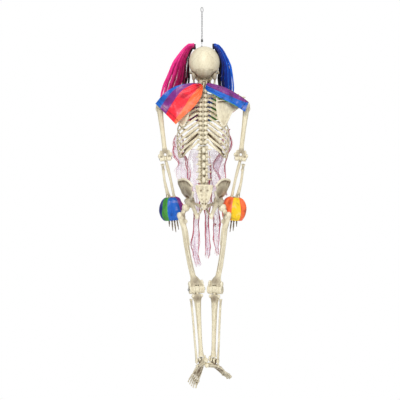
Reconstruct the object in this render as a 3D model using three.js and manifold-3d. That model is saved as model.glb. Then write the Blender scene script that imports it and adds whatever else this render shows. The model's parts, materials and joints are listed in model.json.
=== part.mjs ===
// A hanging, posable plastic skeleton in a rainbow costume.
// Millimetres. +Z is up, +Y is the way the face looks, +X is the skeleton's right-hand side.
// The origin is the point that hangs on a hook: the inside top of the hanger's eye.

import * as THREE from 'three';
import { mergeVertices } from 'three/addons/utils/BufferGeometryUtils.js';
import Module from 'manifold-3d';

const wasm = await Module();
wasm.setup();

// ---- driving dimensions ----------------------------------------------------------------

const GAP = 0.35;                 // clearance between pieces that touch
const FIGURE_X = 2.6;             // the crown pin sits a little left of the body's middle
const HEAD_X = 3.4;               // the head leans a little to the right

const EYE_RADIUS = 6;             // hanger eye, centre line
const EYE_WIRE = 1.3;             // hanger eye, wire radius
const EYE_TURN = 60;              // degrees, the eye's plane about the vertical
const WIRE_END_Z = -83;
const SLEEVE = { top: -83.3, bottom: -90.2, radius: 2.8 };
const CROWN_Z = -103;

const CRANIUM = { y: -3, z: -145, width: 40, length: 50, height: 42 };
const JAW_PIVOT = { y: 4, z: -178 };
const NECK_PEG = { y: -9, radius: 4.5, top: -185 };

const THORACIC_TOP_Z = -222;
const VERTEBRA_PITCH = 12.2;
const THORACIC_Y = [-18, -21, -25, -28, -31, -33, -34, -34, -33, -31, -28, -26];
// One row per rib: half width, half depth, centre y, drop at the front end, degrees round from the back.
const RIBS = [
  { width: 30, depth: 27, y: 2, drop: 12, end: 150 },
  { width: 43, depth: 35, y: -1, drop: 24, end: 146 },
  { width: 52, depth: 41, y: -3, drop: 34, end: 142 },
  { width: 59, depth: 46, y: -3, drop: 44, end: 138 },
  { width: 64, depth: 50, y: -2, drop: 52, end: 135 },
  { width: 67, depth: 52, y: -1, drop: 60, end: 132 },
  { width: 69, depth: 54, y: 0, drop: 68, end: 130 },
  { width: 69, depth: 55, y: 1, drop: 70, end: 126 },
  { width: 68, depth: 55, y: 1, drop: 70, end: 121 },
  { width: 66, depth: 53, y: 1, drop: 66, end: 114 },
  { width: 62, depth: 50, y: 0, drop: 54, end: 92 },
  { width: 60, depth: 47, y: -2, drop: 28, end: 50 },
];
const RIB_SECTION = [2.1, 3.6];
const RIB_START = 16.8;           // the joined ribs begin just outside the vertebrae's side processes
const RIB_ROOT = 11;              // the floating ribs begin inside them
const JOINED_RIBS = 10;           // the last two ribs float
const BREASTBONE = { top: -236, bottom: -328, manubriumZ: -259, thickness: 5 };

const LUMBAR_TOP_Z = -377;
const LUMBAR_PITCH = 19.6;
const LUMBAR_Y = [-24, -20, -17, -17, -21];
const PELVIS_X = 3;
const HIP_HALF_SPACING = 48.5;
const HIP_Z = -529;
const HIP_HEAD_RADIUS = 11;
const HIP_SOCKET_CLEARANCE = 1.3;

const SHOULDER = { x: 112.6, y: -18, z: -260, radius: 12 };
const UPPER_ARM = 140.6;
const FOREARM = 119;
const THIGH = 218.5;
const SHIN = 189;
const ARM_POSE = { inward: 5.5, forward: 6, elbow: 13, wrist: 13 };
const WRIST_X = -4;               // the forearm's bones lean this far in towards the body
const KNEE_SLANT = 4;             // degrees between the thigh's line and the shin's
const LEG_POSE = {
  left: { inward: 7.7, turnOut: 14, footTurn: 2, footPitch: 50, toeOut: 17 },
  right: { inward: 5.3, turnOut: 20, footTurn: 16, footPitch: 24, toeOut: 10 },
};

const COLOURS = {
  bone: [0xd9cfae, 0.62, 0],
  wire: [0xa9abae, 0.3, 1],
  sleeve: [0x3a3a3c, 0.4, 1],
  screw: [0x8d8f93, 0.35, 1],
  hairPink: [0xc8146e, 0.45, 0],
  hairBlue: [0x143296, 0.45, 0],
  band: [0x18161a, 0.8, 0],
  satin: [0x7d3282, 0.3, 0],
  gauze: [0xf0c3cc, 0.9, 0],
};

// ---- small tools -----------------------------------------------------------------------

const rad = THREE.MathUtils.degToRad;
const mix = (a, b, t) => a + (b - a) * t;
const vec = (p) => new THREE.Vector3(...p);

function toSolid(geometry) {
  const plain = geometry.clone();
  plain.deleteAttribute('normal');
  plain.deleteAttribute('uv');
  const merged = mergeVertices(plain, 1e-4);
  return new wasm.Manifold(new wasm.Mesh({
    numProp: 3,
    vertProperties: Float32Array.from(merged.attributes.position.array),
    triVerts: Uint32Array.from(merged.index.array),
  }));
}

function toGeometry(solid) {
  const mesh = solid.getMesh();
  const geometry = new THREE.BufferGeometry();
  geometry.setAttribute('position', new THREE.BufferAttribute(mesh.vertProperties, 3));
  geometry.setIndex(new THREE.BufferAttribute(mesh.triVerts, 1));
  geometry.computeVertexNormals();
  return geometry;
}

const join = (...solids) => solids.flat().reduce((sum, solid) => sum.add(solid));
const cut = (solid, ...tools) => tools.flat().reduce((rest, tool) => rest.subtract(tool), solid);

// Moves every vertex of a geometry through a function of its position.
function reshape(geometry, place) {
  const position = geometry.attributes.position;
  const point = new THREE.Vector3();
  for (let i = 0; i < position.count; i += 1) {
    point.fromBufferAttribute(position, i);
    const moved = place(point.clone());
    position.setXYZ(i, moved.x, moved.y, moved.z);
  }
  return geometry;
}

function ball(centre, radii, around = 8, down = 6) {
  const geometry = new THREE.SphereGeometry(1, around, down);
  geometry.rotateX(Math.PI / 2);
  geometry.scale(...radii);
  geometry.translate(...centre);
  return toSolid(geometry);
}

function block(centre, size) {
  return toSolid(new THREE.BoxGeometry(...size).translate(...centre));
}

function rod(from, to, radius, sides = 10) {
  const start = vec(from);
  const along = vec(to).sub(start);
  const geometry = new THREE.CylinderGeometry(radius, radius, along.length(), sides);
  const turn = new THREE.Quaternion().setFromUnitVectors(new THREE.Vector3(0, 1, 0),
    along.clone().normalize());
  geometry.applyQuaternion(turn);
  geometry.translate(...start.addScaledVector(along, 0.5).toArray());
  return toSolid(geometry);
}

function ring(centre, radius, wire, turn, sides = 8, around = 20) {
  const geometry = new THREE.TorusGeometry(radius, wire, sides, around);
  geometry.applyMatrix4(new THREE.Matrix4().makeRotationFromEuler(new THREE.Euler(...turn, 'ZYX')));
  geometry.translate(...centre);
  return toSolid(geometry);
}

// A tapered limb through a list of points. Each width is [across, along the second axis] at its point;
// with up = Z the second axis is near vertical, and with up = Y the first axis is sideways.
function limb(points, widths, { up = [0, 1, 0], sides = 7, steps = (points.length - 1) * 2 } = {}) {
  const curve = new THREE.CatmullRomCurve3(points.map(vec), false, 'centripetal');
  const geometry = new THREE.CylinderGeometry(1, 1, 1, sides, steps);
  const upright = vec(up);
  reshape(geometry, ({ x, y, z }) => {
    const t = THREE.MathUtils.clamp(0.5 - y, 0, 1);
    const slot = Math.min(Math.floor(t * (widths.length - 1)), widths.length - 2);
    const part = t * (widths.length - 1) - slot;
    const across = mix(widths[slot][0], widths[slot + 1][0], part);
    const tall = mix(widths[slot][1], widths[slot + 1][1], part);
    const along = curve.getTangent(t);
    const side = upright.clone().cross(along).normalize();
    const rise = along.clone().cross(side);
    return curve.getPoint(t).addScaledVector(side, across * x).addScaledVector(rise, tall * z);
  });
  return toSolid(geometry);
}

// A thin closed slab that follows a surface given by two parameters from 0 to 1.
function slab(surface, thickness, across, down) {
  const geometry = new THREE.BoxGeometry(1, 1, 1, across, down, 1);
  const tiny = 1e-3;
  reshape(geometry, ({ x, y, z }) => {
    const u = x + 0.5;
    const v = y + 0.5;
    const point = vec(surface(u, v));
    const [left, right] = [Math.max(u - tiny, 0), Math.min(u + tiny, 1)];
    const [bottom, top] = [Math.max(v - tiny, 0), Math.min(v + tiny, 1)];
    const alongU = vec(surface(right, v)).sub(vec(surface(left, v)));
    const alongV = vec(surface(u, top)).sub(vec(surface(u, bottom)));
    return point.addScaledVector(alongU.cross(alongV).normalize(), thickness * z);
  });
  return toSolid(geometry);
}

// A flat outline in X and Z, extruded along Y and bent so that its middle follows depth(x, z).
function plate(outline, thickness, depth) {
  const shape = new THREE.Shape(outline.map(([x, z]) => new THREE.Vector2(x, z)));
  const geometry = new THREE.ExtrudeGeometry(shape, { depth: thickness, bevelEnabled: false });
  geometry.rotateX(Math.PI / 2);
  reshape(geometry, (p) => new THREE.Vector3(p.x, p.y + thickness / 2 + depth(p.x, p.z), p.z));
  return toSolid(geometry);
}

function addPiece(group, name, colour, solid) {
  const [color, roughness, metalness] = COLOURS[colour];
  const material = new THREE.MeshStandardMaterial({ color, roughness, metalness });
  const mesh = new THREE.Mesh(toGeometry(solid), material);
  mesh.name = name;
  group.add(mesh);
}

function addGroup(parent, position, turn = [0, 0, 0], order = 'ZYX') {
  const group = new THREE.Group();
  group.position.set(...position);
  group.rotation.set(...turn.map(rad), order);
  parent.add(group);
  return group;
}

const skeleton = new THREE.Group();
const figure = addGroup(skeleton, [FIGURE_X, 0, 0]);
const head = addGroup(figure, [HEAD_X, 0, 0]);
const SIDES = { left: -1, right: 1 };

// ---- hanger and crown pin --------------------------------------------------------------

function makeHanger() {
  const eyeCentreZ = EYE_WIRE - EYE_RADIUS;
  const eye = ring([0, 0, eyeCentreZ], EYE_RADIUS, EYE_WIRE, [Math.PI / 2, 0, rad(EYE_TURN)]);
  const stemTop = eyeCentreZ - EYE_RADIUS + 0.6;
  const stem = rod([0, 0, stemTop], [0, 0, WIRE_END_Z], 1.8, 8);
  addPiece(skeleton, 'hanger_wire', 'wire', join(eye, stem));
  const { top, bottom, radius } = SLEEVE;
  addPiece(skeleton, 'swivel_sleeve', 'sleeve', rod([0, 0, top], [0, 0, bottom], radius, 12));
  const shank = rod([0, 0, bottom - GAP], [0, 0, CROWN_Z - 6], 1.2, 8);
  const washer = rod([0, 0, CROWN_Z + 1], [0, 0, CROWN_Z - 0.4], 4.6, 12);
  addPiece(skeleton, 'crown_pin', 'screw', join(shank, washer));
}

// ---- skull, jaw and hair ---------------------------------------------------------------

function makeSkull() {
  const c = CRANIUM;
  const shapes = [
    ball([0, c.y, c.z], [c.width, c.length, c.height], 14, 10),
    ball([0, -26, -170], [24, 22, 17.5], 10, 7),
    ball([0, 34, -172], [27, 19, 26], 10, 7),
    limb([[-16, 25, -195], [-11, 41, -196], [0, 46, -196], [11, 41, -196], [16, 25, -195]],
      [[3, 4.5], [3, 4.5]], { up: [0, 0, 1], sides: 6, steps: 6 }),
  ];
  const sockets = [ball([0, 56, -175], [4.5, 12, 8], 8, 6)];
  for (const s of [-1, 1]) {
    shapes.push(ball([s * 26, 30, -172], [8, 11, 8], 8, 6));
    shapes.push(ball([s * 27, -12, -179], [7, 8.5, 11]));
    shapes.push(ball([s * 20.5, 4, -174], [4, 5.5, 8]));
    shapes.push(limb([[s * 28, 29, -171], [s * 38, 13, -171], [s * 36, -5, -168]],
      [[2, 3], [2, 3]], { up: [0, 0, 1], sides: 6, steps: 4 }));
    sockets.push(ball([s * 13.5, 52, -159], [10, 14, 9.5]));
  }
  sockets.push(rod([-25.2, JAW_PIVOT.y, JAW_PIVOT.z], [25.2, JAW_PIVOT.y, JAW_PIVOT.z], 1.3 + GAP, 8));
  const pinX = -HEAD_X - FIGURE_X;
  sockets.push(rod([pinX, 0, CROWN_Z + 3], [pinX, 0, CROWN_Z - 0.4 - GAP], 4.6 + GAP, 12));
  sockets.push(rod([pinX, 0, CROWN_Z], [pinX, 0, CROWN_Z - 6 - GAP], 1.2 + GAP, 8));
  sockets.push(rod([0, NECK_PEG.y, -195], [0, NECK_PEG.y, NECK_PEG.top + GAP], NECK_PEG.radius + GAP, 12));
  addPiece(head, 'skull', 'bone', cut(join(shapes), sockets));
}

function makeJaw() {
  const { y, z } = JAW_PIVOT;
  const shapes = [
    limb([[26.6, 5, -203], [21, 27, -209], [10, 43, -213], [0, 47, -214], [-10, 43, -213], [-21, 27, -209],
      [-26.6, 5, -203]], [[2.8, 5.5], [2.6, 6], [3, 7.5], [2.6, 6], [2.8, 5.5]],
        { up: [0, 0, 1], steps: 12 }),
    limb([[15, 27, -205], [10, 41, -206.5], [0, 45.5, -207], [-10, 41, -206.5], [-15, 27, -205]],
      [[2.4, 4], [2.4, 4]], { up: [0, 0, 1], sides: 6, steps: 6 }),
  ];
  const holes = [];
  const heads = [];
  for (const s of Object.values(SIDES)) {
    shapes.push(limb([[s * 28, y, z + 2], [s * 28, y + 1, z - 12], [s * 26.6, y + 3, z - 27]],
      [[5, 2.2], [6, 2.4], [7.5, 2.6]], { up: [1, 0, 0], sides: 8, steps: 3 }));
    holes.push(rod([s * 24, y, z], [s * 32, y, z], 1.3 + GAP, 8));
    heads.push(rod([s * 30.8, y, z], [s * 32.6, y, z], 2.7, 8));
  }
  addPiece(head, 'jaw_pin', 'screw', join([rod([-32, y, z], [32, y, z], 1.3, 8), ...heads]));
  addPiece(head, 'jaw', 'bone', cut(join(shapes), holes));
}

// The left bunch is fuller than the right one. Both leave a tie high on the skull, fall outside it
// and come down in front of the shoulders.
const PIGTAILS = {
  left: {
    colour: 'hairPink',
    path: [[-21, 3, -103], [-31, 5, -101], [-42, 8, -112], [-51, 8, -130], [-60, 12, -154], [-66, 24, -183],
      [-76, 40, -212], [-82, 45, -241], [-84, 46, -262]],
    widths: [[4, 4], [7, 6], [10, 7], [14, 8], [21, 8], [28, 7], [30, 6], [30, 5], [18, 3]],
  },
  right: {
    colour: 'hairBlue',
    path: [[27, 3, -102], [35, 5, -102], [45, 8, -114], [53, 8, -132], [59, 12, -154], [59, 24, -182],
      [62, 40, -210], [61, 45, -232], [60, 46, -252]],
    widths: [[4, 4], [6, 6], [8, 7], [9, 8], [13, 8], [18, 7], [17, 6], [16, 5], [10, 3]],
  },
};

function makePigtails() {
  for (const [side, { colour, path, widths }] of Object.entries(PIGTAILS)) {
    addPiece(figure, `pigtail_${side}`, colour, limb(path, widths, { sides: 8, steps: 12 }));
    addPiece(figure, `hair_tie_${side}`, 'band', ring(path[0], 6.6, 1.7, [0, Math.PI / 2, 0], 6, 12));
  }
}

// ---- spine and ribs --------------------------------------------------------------------

// One vertebra's outer shape: a bar across for the side processes and a fin for the spine behind.
function vertebra(x, y, z, halfWidth, fin, drop) {
  return [
    limb([[x - halfWidth, y - 8, z + 1], [x, y - 5, z], [x + halfWidth, y - 8, z + 1]],
      [[2.2, 2], [3.4, 3], [2.2, 2]],
      { up: [0, 0, 1], sides: 4, steps: 2 }),
    limb([[x, y - 4, z], [x, y - fin, z - drop]], [[2.2, 3.6], [1.4, 2.6]],
      { up: [1, 0, 0], sides: 4, steps: 1 }),
  ];
}

function makeNeck() {
  const shapes = [
    rod([HEAD_X, NECK_PEG.y, -194], [HEAD_X, NECK_PEG.y, NECK_PEG.top], NECK_PEG.radius, 12),
    limb([[HEAD_X, -9, -190], [2, -10, -200], [0, -15, -215]], [[7, 6], [6, 6], [8, 6.5]], { steps: 3 }),
    ball([HEAD_X, -9, -193], [12.5, 8, 2.6], 8, 4),
  ];
  for (let i = 1; i < 7; i += 1) {
    const t = i / 6;
    shapes.push(...vertebra(mix(HEAD_X, 0, t), mix(-6, -12, t), mix(-193, -209.5, t), mix(7, 12, t),
      mix(10, 17, t), 3));
  }
  addPiece(figure, 'cervical_spine', 'bone', join(shapes));
}

function ribPoint(rib, z, s, degreesRound) {
  const angle = rad(degreesRound);
  const steep = degreesRound / rib.end;
  return [s * rib.width * Math.sin(angle), rib.y - rib.depth * Math.cos(angle),
    z - rib.drop * steep ** 1.15];
}

const ribZ = (i) => THORACIC_TOP_Z - VERTEBRA_PITCH * i;

const breastboneY = (z) => 38 - (z + 236) * 0.17;
const breastboneHalf = (z) => (z > BREASTBONE.manubriumZ ? 11.2 : 8);

// A rib from its vertebra round the side and on to the breastbone. The last two pairs float: they
// grow out of the column and end at the side.
function ribLimb(rib, i, s) {
  const z = ribZ(i);
  const floating = i >= JOINED_RIBS;
  const points = [[s * (floating ? RIB_ROOT : RIB_START), THORACIC_Y[i] - 9.5, z + 1.5]];
  const first = i < 2 ? 40 : 27;
  for (let step = 1; step <= 5; step += 1) {
    points.push(ribPoint(rib, z, s, mix(first, rib.end, step / 5)));
  }
  if (!floating) {
    const joinZ = Math.max(BREASTBONE.top - 5 - i * 13, BREASTBONE.bottom + 6);
    const edge = breastboneHalf(joinZ) - 2;
    const [x, y, endZ] = points[points.length - 1];
    points.push([mix(x, s * edge, 0.55), mix(y, breastboneY(joinZ), 0.65), mix(endZ, joinZ, 0.5)]);
    points.push([s * edge, breastboneY(joinZ), joinZ]);
  }
  return limb(points, [RIB_SECTION, RIB_SECTION], { up: [0, 0, 1], sides: 4, steps: floating ? 5 : 12 });
}

// The breastbone is split down its middle, so each side's ten joined ribs and its half of the
// breastbone make one open comb that ends just short of the column.
function breastboneSide(s) {
  const { top, bottom, thickness } = BREASTBONE;
  const boneZ = (v) => mix(bottom, top, v);
  return slab((u, v) => {
    const ends = [s * GAP / 2, s * breastboneHalf(boneZ(v))];
    return [mix(Math.min(...ends), Math.max(...ends), u), breastboneY(boneZ(v)), boneZ(v)];
  }, thickness, 1, 6);
}

function makeRibs() {
  const spinePoints = THORACIC_Y.map((y, i) => [0, y, ribZ(i)]);
  spinePoints.unshift([0, THORACIC_Y[0] + 2, THORACIC_TOP_Z + 5]);
  spinePoints.push([0, -25, LUMBAR_TOP_Z + 12.5]);
  const column = [limb(spinePoints, [[7, 6], [7, 6.5], [9, 8]], { steps: 13 })];
  THORACIC_Y.forEach((y, i) => column.push(...vertebra(0, y, ribZ(i), 14, 24, 9)));
  for (const [side, s] of Object.entries(SIDES)) {
    const ribs = RIBS.map((rib, i) => ribLimb(rib, i, s));
    column.push(...ribs.splice(JOINED_RIBS));
    addPiece(figure, `ribs_${side}`, 'bone', join([...ribs, breastboneSide(s)]));
  }
  addPiece(figure, 'thoracic_spine', 'bone', join(column));
}

function makeLowerSpine() {
  const points = LUMBAR_Y.map((y, i) => [2, y, LUMBAR_TOP_Z - LUMBAR_PITCH * i]);
  points.unshift([1, -25, LUMBAR_TOP_Z + 10.5]);
  points.push([PELVIS_X, -27, -470.5]);
  const shapes = [limb(points, [[9, 8], [9.8, 9], [10.5, 9]], { steps: 12 })];
  LUMBAR_Y.forEach((y, i) => shapes.push(...vertebra(2, y - 1, LUMBAR_TOP_Z - LUMBAR_PITCH * i, 20.5, 24,
    4)));
  addPiece(figure, 'lumbar_spine', 'bone', join(shapes));
  const x = PELVIS_X;
  addPiece(figure, 'sacrum', 'bone', limb(
    [[x, -32, -471.5], [x, -40, -487], [x, -47, -503], [x, -49, -519], [x, -44, -534.5]],
    [[25, 8], [22, 7], [17, 6], [9, 4], [3.5, 2.5]], { sides: 10, steps: 8 },
  ));
}

// ---- shoulder blades, collar bones and hip bones ---------------------------------------

function makeShoulderBlades() {
  for (const [side, s] of Object.entries(SIDES)) {
    const depth = (x) => -53 + (Math.abs(x) - 35) * 0.42;
    const outline = [[35, -240], [46, -232], [70, -240], [88, -245], [96, -252], [96, -266], [84, -270],
      [72, -280],
      [65, -300], [56, -317], [49, -316], [40, -296], [35, -272]];
    const mirrored = (s > 0 ? outline : outline.slice().reverse()).map(([x, z]) => [s * x, z]);
    addPiece(figure, `shoulder_blade_${side}`, 'bone', join(
      plate(mirrored, 3, depth),
      limb([[s * 38, -54, -249], [s * 66, -46, -246], [s * 92, -34, -240], [s * 110, -22, -238]],
        [[3, 2], [3.5, 3], [4, 3], [6, 2.4]], { up: [0, 0, 1], sides: 6, steps: 6 }),
      limb([[s * 92, -27, -250], [s * 95, -14, -247], [s * 100, -4, -252]], [[3, 3], [2.4, 2.4]],
        { sides: 6, steps: 4 }),
      ball([s * 94, -26, -259], [4.5, 6, 9], 8, 6),
    ));
    addPiece(figure, `collar_bone_${side}`, 'bone', limb(
      [[s * 12, 38, -232], [s * 34, 38, -229], [s * 62, 22, -229], [s * 82, 2, -231], [s * 100, -8, -236]],
      [[3.6, 3.2], [2.8, 2.8], [3.4, 2.6]], { up: [0, 0, 1], sides: 6, steps: 8 },
    ));
  }
}

function makeHipBones() {
  for (const [side, s] of Object.entries(SIDES)) {
    const place = ([x, y, z]) => [PELVIS_X + s * x, y, z];
    const crest = new THREE.CatmullRomCurve3(
      [[31, -47, -470], [45, -38, -458], [63, -12, -456], [67, 14, -463], [60, 35, -484]].map(vec));
    const neck = new THREE.CatmullRomCurve3([[29, -36, -493], [36, -16, -502], [43, 10, -506]].map(vec));
    const wing = (u, v) => {
      const across = s > 0 ? u : 1 - u;
      const point = neck.getPoint(across).lerp(crest.getPoint(across), v);
      point.x += 3 * Math.sin(Math.PI * v);
      return place(point.toArray());
    };
    const socket = ball(place([HIP_HALF_SPACING, 0, HIP_Z]),
      [1, 1, 1].map(() => HIP_HEAD_RADIUS + HIP_SOCKET_CLEARANCE),
      10, 8);
    const shapes = [
      slab(wing, 4, 7, 3),
      ball(place([37.5, -1, -513]), [13, 15, 17], 10, 7),
      limb([[34, -10, -516], [27, -18, -532], [20, -19, -550]].map(place), [[7, 7], [6, 6], [5, 6]],
        { sides: 6, steps: 4 }),
      limb([[35, 8, -514], [22, 24, -520], [7, 33, -526]].map(place), [[5, 5], [4, 4], [4, 6]],
        { up: [0, 0, 1], sides: 6, steps: 4 }),
      limb([[19, -17, -551], [15, 4, -548], [6, 31, -533]].map(place), [[3, 5], [3, 3.4], [3, 4]],
        { up: [1, 0, 0], sides: 6, steps: 4 }),
    ];
    addPiece(figure, `hip_bone_${side}`, 'bone', cut(join(shapes), socket));
  }
}

// ---- the ball joints at shoulders and hips ---------------------------------------------

// A turning tongue on a peg: it swings about X in the body, and the limb's slotted ball rocks on it.
function turningTongue(s, radius, reach) {
  return join(
    rod([0, -2, 0], [0, 2, 0], radius * 0.55, 10),
    block([-s * reach / 2, 0, 0], [reach, 4, radius * 0.62]),
  );
}

function tongueSlot(s, radius) {
  const width = 4 + 2 * GAP;
  const low = -radius * 0.55 - GAP;
  const high = radius + 2;
  const inner = -s * (radius + 2);
  const outer = s * (radius * 0.55 + GAP);
  return block([(inner + outer) / 2, 0, (low + high) / 2], [Math.abs(outer - inner), width, high - low]);
}

// ---- arms ------------------------------------------------------------------------------

// A bar across a hinge, with a flat head at each end.
function hingePin(halfWidth, radius, headRadius) {
  return join(
    rod([-halfWidth - GAP - 0.9, 0, 0], [halfWidth + GAP + 0.9, 0, 0], radius, 10),
    ...[-1, 1].map((e) => rod([e * (halfWidth + GAP), 0, 0], [e * (halfWidth + GAP + 1.2), 0, 0],
      headRadius, 12)),
  );
}

// A round bar along X, or along X tipped up by some degrees.
function across(z, halfWidth, radius, sides = 12, tip = 0) {
  const run = halfWidth * Math.cos(rad(tip));
  const rise = halfWidth * Math.sin(rad(tip));
  return rod([-run, 0, z - rise], [run, 0, z + rise], radius, sides);
}

function makeUpperArm(arm, side, s) {
  const elbow = -UPPER_ARM;
  addPiece(arm, `humerus_${side}`, 'bone', cut(
    join(
      ball([0, 0, 0], [SHOULDER.radius, SHOULDER.radius, SHOULDER.radius]),
      ball([s * 7, 2, -8], [6.5, 8, 9], 8, 6),
      limb([[s * 2, 0, -6], [s * 2, 0, -24], [s * 1, 0, -66], [0, 0, -112], [0, 0, -124]],
        [[9, 9], [8, 8], [6.2, 6.2], [6.2, 5.4], [9, 5]], { steps: 7 }),
      limb([[0, 0, -118], [0, 0, -128], [0, 0, -136]], [[7, 4.6], [16.5, 5], [14.4, 5.6]], { steps: 2 }),
      across(elbow, 15, 6.6),
    ),
    tongueSlot(s, SHOULDER.radius),
    across(elbow, 4.3, 8.5),
    rod([0, -9, elbow + 11], [0, 9, elbow + 11], 3.6, 8),
    across(elbow, 20, 2 + GAP, 10),
  ));
  const pin = addGroup(arm, [0, 0, elbow]);
  addPiece(pin, `elbow_pin_${side}`, 'screw', hingePin(15, 2, 3.4));
}

function makeForearm(forearm, side, s) {
  addPiece(forearm, `ulna_${side}`, 'bone', cut(
    join(
      across(0, 3.9, 7.4),
      ball([0, -6.8, 1.5], [3, 3, 5], 8, 5),
      limb([[0, 0, -4], [-s * 2.5, 0, -22], [-s * 7.5, 2, -60], [-s * 12, 1, -110]],
        [[3.8, 5.5], [4.6, 5], [3.8, 3.8], [3.8, 3.8]], { steps: 6 }),
    ),
    across(0, 8, 2 + GAP, 10),
  ));
  addPiece(forearm, `radius_${side}`, 'bone', limb(
    [[s * 9.5, 1, -15], [s * 9.5, 1, -21], [s * 9, 4, -62], [s * 4.5, 2, -98], [s * 2.5, 1, -110]],
    [[6.2, 6.2], [3.6, 3.6], [3.6, 3.6], [5, 4.4], [7.6, 5.4]], { steps: 8 },
  ));
}

const FINGER_REACH = [80, 86, 82, 70];

function makeHand(hand, side, s) {
  const shapes = [
    ball([0, 0, -1], [10, 6, 8.6], 10, 6),
    ball([0, 0, -9], [11, 5, 6], 8, 5),
  ];
  FINGER_REACH.forEach((reach, i) => {
    const fan = -s * (7.4 - 5.2 * i);
    const points = [0.1, 0.42, 0.66, 0.84,
      1].map((t, step) => [fan * (0.8 + t * 0.75), -[0, 3, 3, 0, -5][step], -reach * t]);
    shapes.push(limb(points, [[2.4, 2.4], [2, 2], [2.9, 2.9], [1.8, 1.8], [2.4, 2.4], [1.6, 1.6],
      [1.1, 1.1]],
      { sides: 5, steps: 6 }));
  });
  shapes.push(limb([[-s * 5, 2, -7], [-s * 9, 7, -22], [-s * 10, 10, -38], [-s * 10, 11, -54]],
    [[2.6, 2.6], [2.8, 2.8], [2, 2], [1.2, 1.2]], { sides: 5, steps: 5 }));
  addPiece(hand, `hand_${side}`, 'bone', join(shapes));
}

// A puffed cuff: one gathered ring of satin round the wrist and the back of the hand.
function makeCuff(hand, side) {
  const profile = [[14.5, 8], [17.5, -10], [22, -28], [24, -46], [27, -50], [31, -42], [33, -26],
    [31, -8], [24, 6], [14.5, 8]];
  const geometry = new THREE.LatheGeometry(profile.map(([r, y]) => new THREE.Vector2(r, y)), 14);
  geometry.rotateX(Math.PI / 2);
  geometry.scale(1, 0.8, 1);
  addPiece(hand, `cuff_${side}`, 'satin', toSolid(geometry));
}

function makeArm(side, s) {
  const { inward, forward, elbow, wrist } = ARM_POSE;
  const shoulder = addGroup(figure, [s * SHOULDER.x, SHOULDER.y, SHOULDER.z], [forward, 0, 0]);
  addPiece(shoulder, `shoulder_swivel_${side}`, 'bone', turningTongue(s, SHOULDER.radius, 13.4));
  const arm = addGroup(shoulder, [0, 0, 0], [0, s * inward, 0]);
  makeUpperArm(arm, side, s);
  const forearm = addGroup(arm, [0, 0, -UPPER_ARM], [elbow, 0, 0]);
  makeForearm(forearm, side, s);
  const hand = addGroup(forearm, [s * WRIST_X, 0, -FOREARM], [-wrist, 0, 0]);
  makeHand(hand, side, s);
  makeCuff(hand, side);
}

// ---- legs ------------------------------------------------------------------------------

function makeThigh(thigh, side, s) {
  const knee = -THIGH;
  addPiece(thigh, `femur_${side}`, 'bone', cut(
    join(
      ball([0, 0, 0], [HIP_HEAD_RADIUS, HIP_HEAD_RADIUS, HIP_HEAD_RADIUS]),
      limb([[s * 3, 0, -3], [s * 14, -1, -19]], [[6.5, 7], [6.5, 7.5]], { steps: 2 }),
      ball([s * 17.5, -3, -22], [6.5, 7.5, 9.5], 8, 6),
      ball([s * 6, -5, -36], [5, 4, 6], 8, 5),
      limb([[s * 13, -1, -20], [s * 12.5, 0, -60], [s * 10, 2, -125], [s * 5, 1, -182], [s * 2, 0, -196]],
        [[8.5, 7.5], [7.3, 7.3], [7.3, 7.3], [8, 7], [11, 7.5]], { steps: 8 }),
      limb([[s * 4, 0, -186], [0, 1, -204], [0, 1, -211]], [[10, 7], [18, 9], [18.4, 10]], { steps: 2 }),
      across(knee, 20, 12, 12, s * KNEE_SLANT),
    ),
    tongueSlot(s, HIP_HEAD_RADIUS),
    across(knee, 5.8, 13.8, 12, s * KNEE_SLANT),
    across(knee, 24, 2.5 + GAP, 10, s * KNEE_SLANT),
  ));
  addPiece(thigh, `kneecap_${side}`, 'bone', ball([0, 17.6, knee + 5], [8, 3.6, 9], 10, 6));
  const pin = addGroup(thigh, [0, 0, knee], [0, -s * KNEE_SLANT, 0]);
  addPiece(pin, `knee_pin_${side}`, 'screw', hingePin(20, 2.5, 4));
}

function makeShin(shin, side, s, footTurn) {
  const ankle = -SHIN;
  const knuckleSocket = rod([0, 0, ankle + 4], [0, 0, ankle + 20], 2.6 + GAP, 10);
  addPiece(shin, `tibia_${side}`, 'bone', cut(
    join(
      across(0, 5.2, 11, 12),
      limb([[0, 0, -6], [0, 0, -16]], [[4.8, 9], [4.8, 9]], { steps: 1 }),
      limb([[0, 0, -13.2], [0, 0, -19], [-s, 1, -38], [-s, 1, -90], [-s, 0, -145], [-s, 0, ankle + 16],
        [-s, 0, ankle + 9]],
        [[14, 8.5], [14.5, 9.5], [8.6, 9], [6.6, 7.6], [5.4, 6.2], [7, 7], [9, 8.5]], { steps: 10 }),
      ball([-s * 10.6, -1, ankle + 6], [2.2, 4.4, 7], 8, 5),
    ),
    across(0, 8, 2.5 + GAP, 10),
    knuckleSocket,
  ));
  addPiece(shin, `fibula_${side}`, 'bone', limb(
    [[s * 18.6, -6, -24], [s * 18, -6, -30], [s * 15.5, -4, -90], [s * 14, -2, -150], [s * 12.6, -1, -178],
      [s * 12.2, -1, -194]],
    [[4.6, 4.6], [3.2, 3.2], [2.9, 2.9], [2.9, 2.9], [3.3, 3.8], [2.6, 4]], { sides: 7, steps: 9 },
  ));
  const knuckle = addGroup(shin, [0, 0, ankle], [0, 0, footTurn]);
  addPiece(knuckle, `ankle_knuckle_${side}`, 'screw', join(
    rod([-1.6, 0, 0], [1.6, 0, 0], 4, 10),
    block([0, 0, 5], [3.2, 4.4, 10]),
    rod([0, 0, 9], [0, 0, 19], 2.6, 10),
  ));
}

const TOE_REACH = [82, 82, 77, 71, 64];

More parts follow.
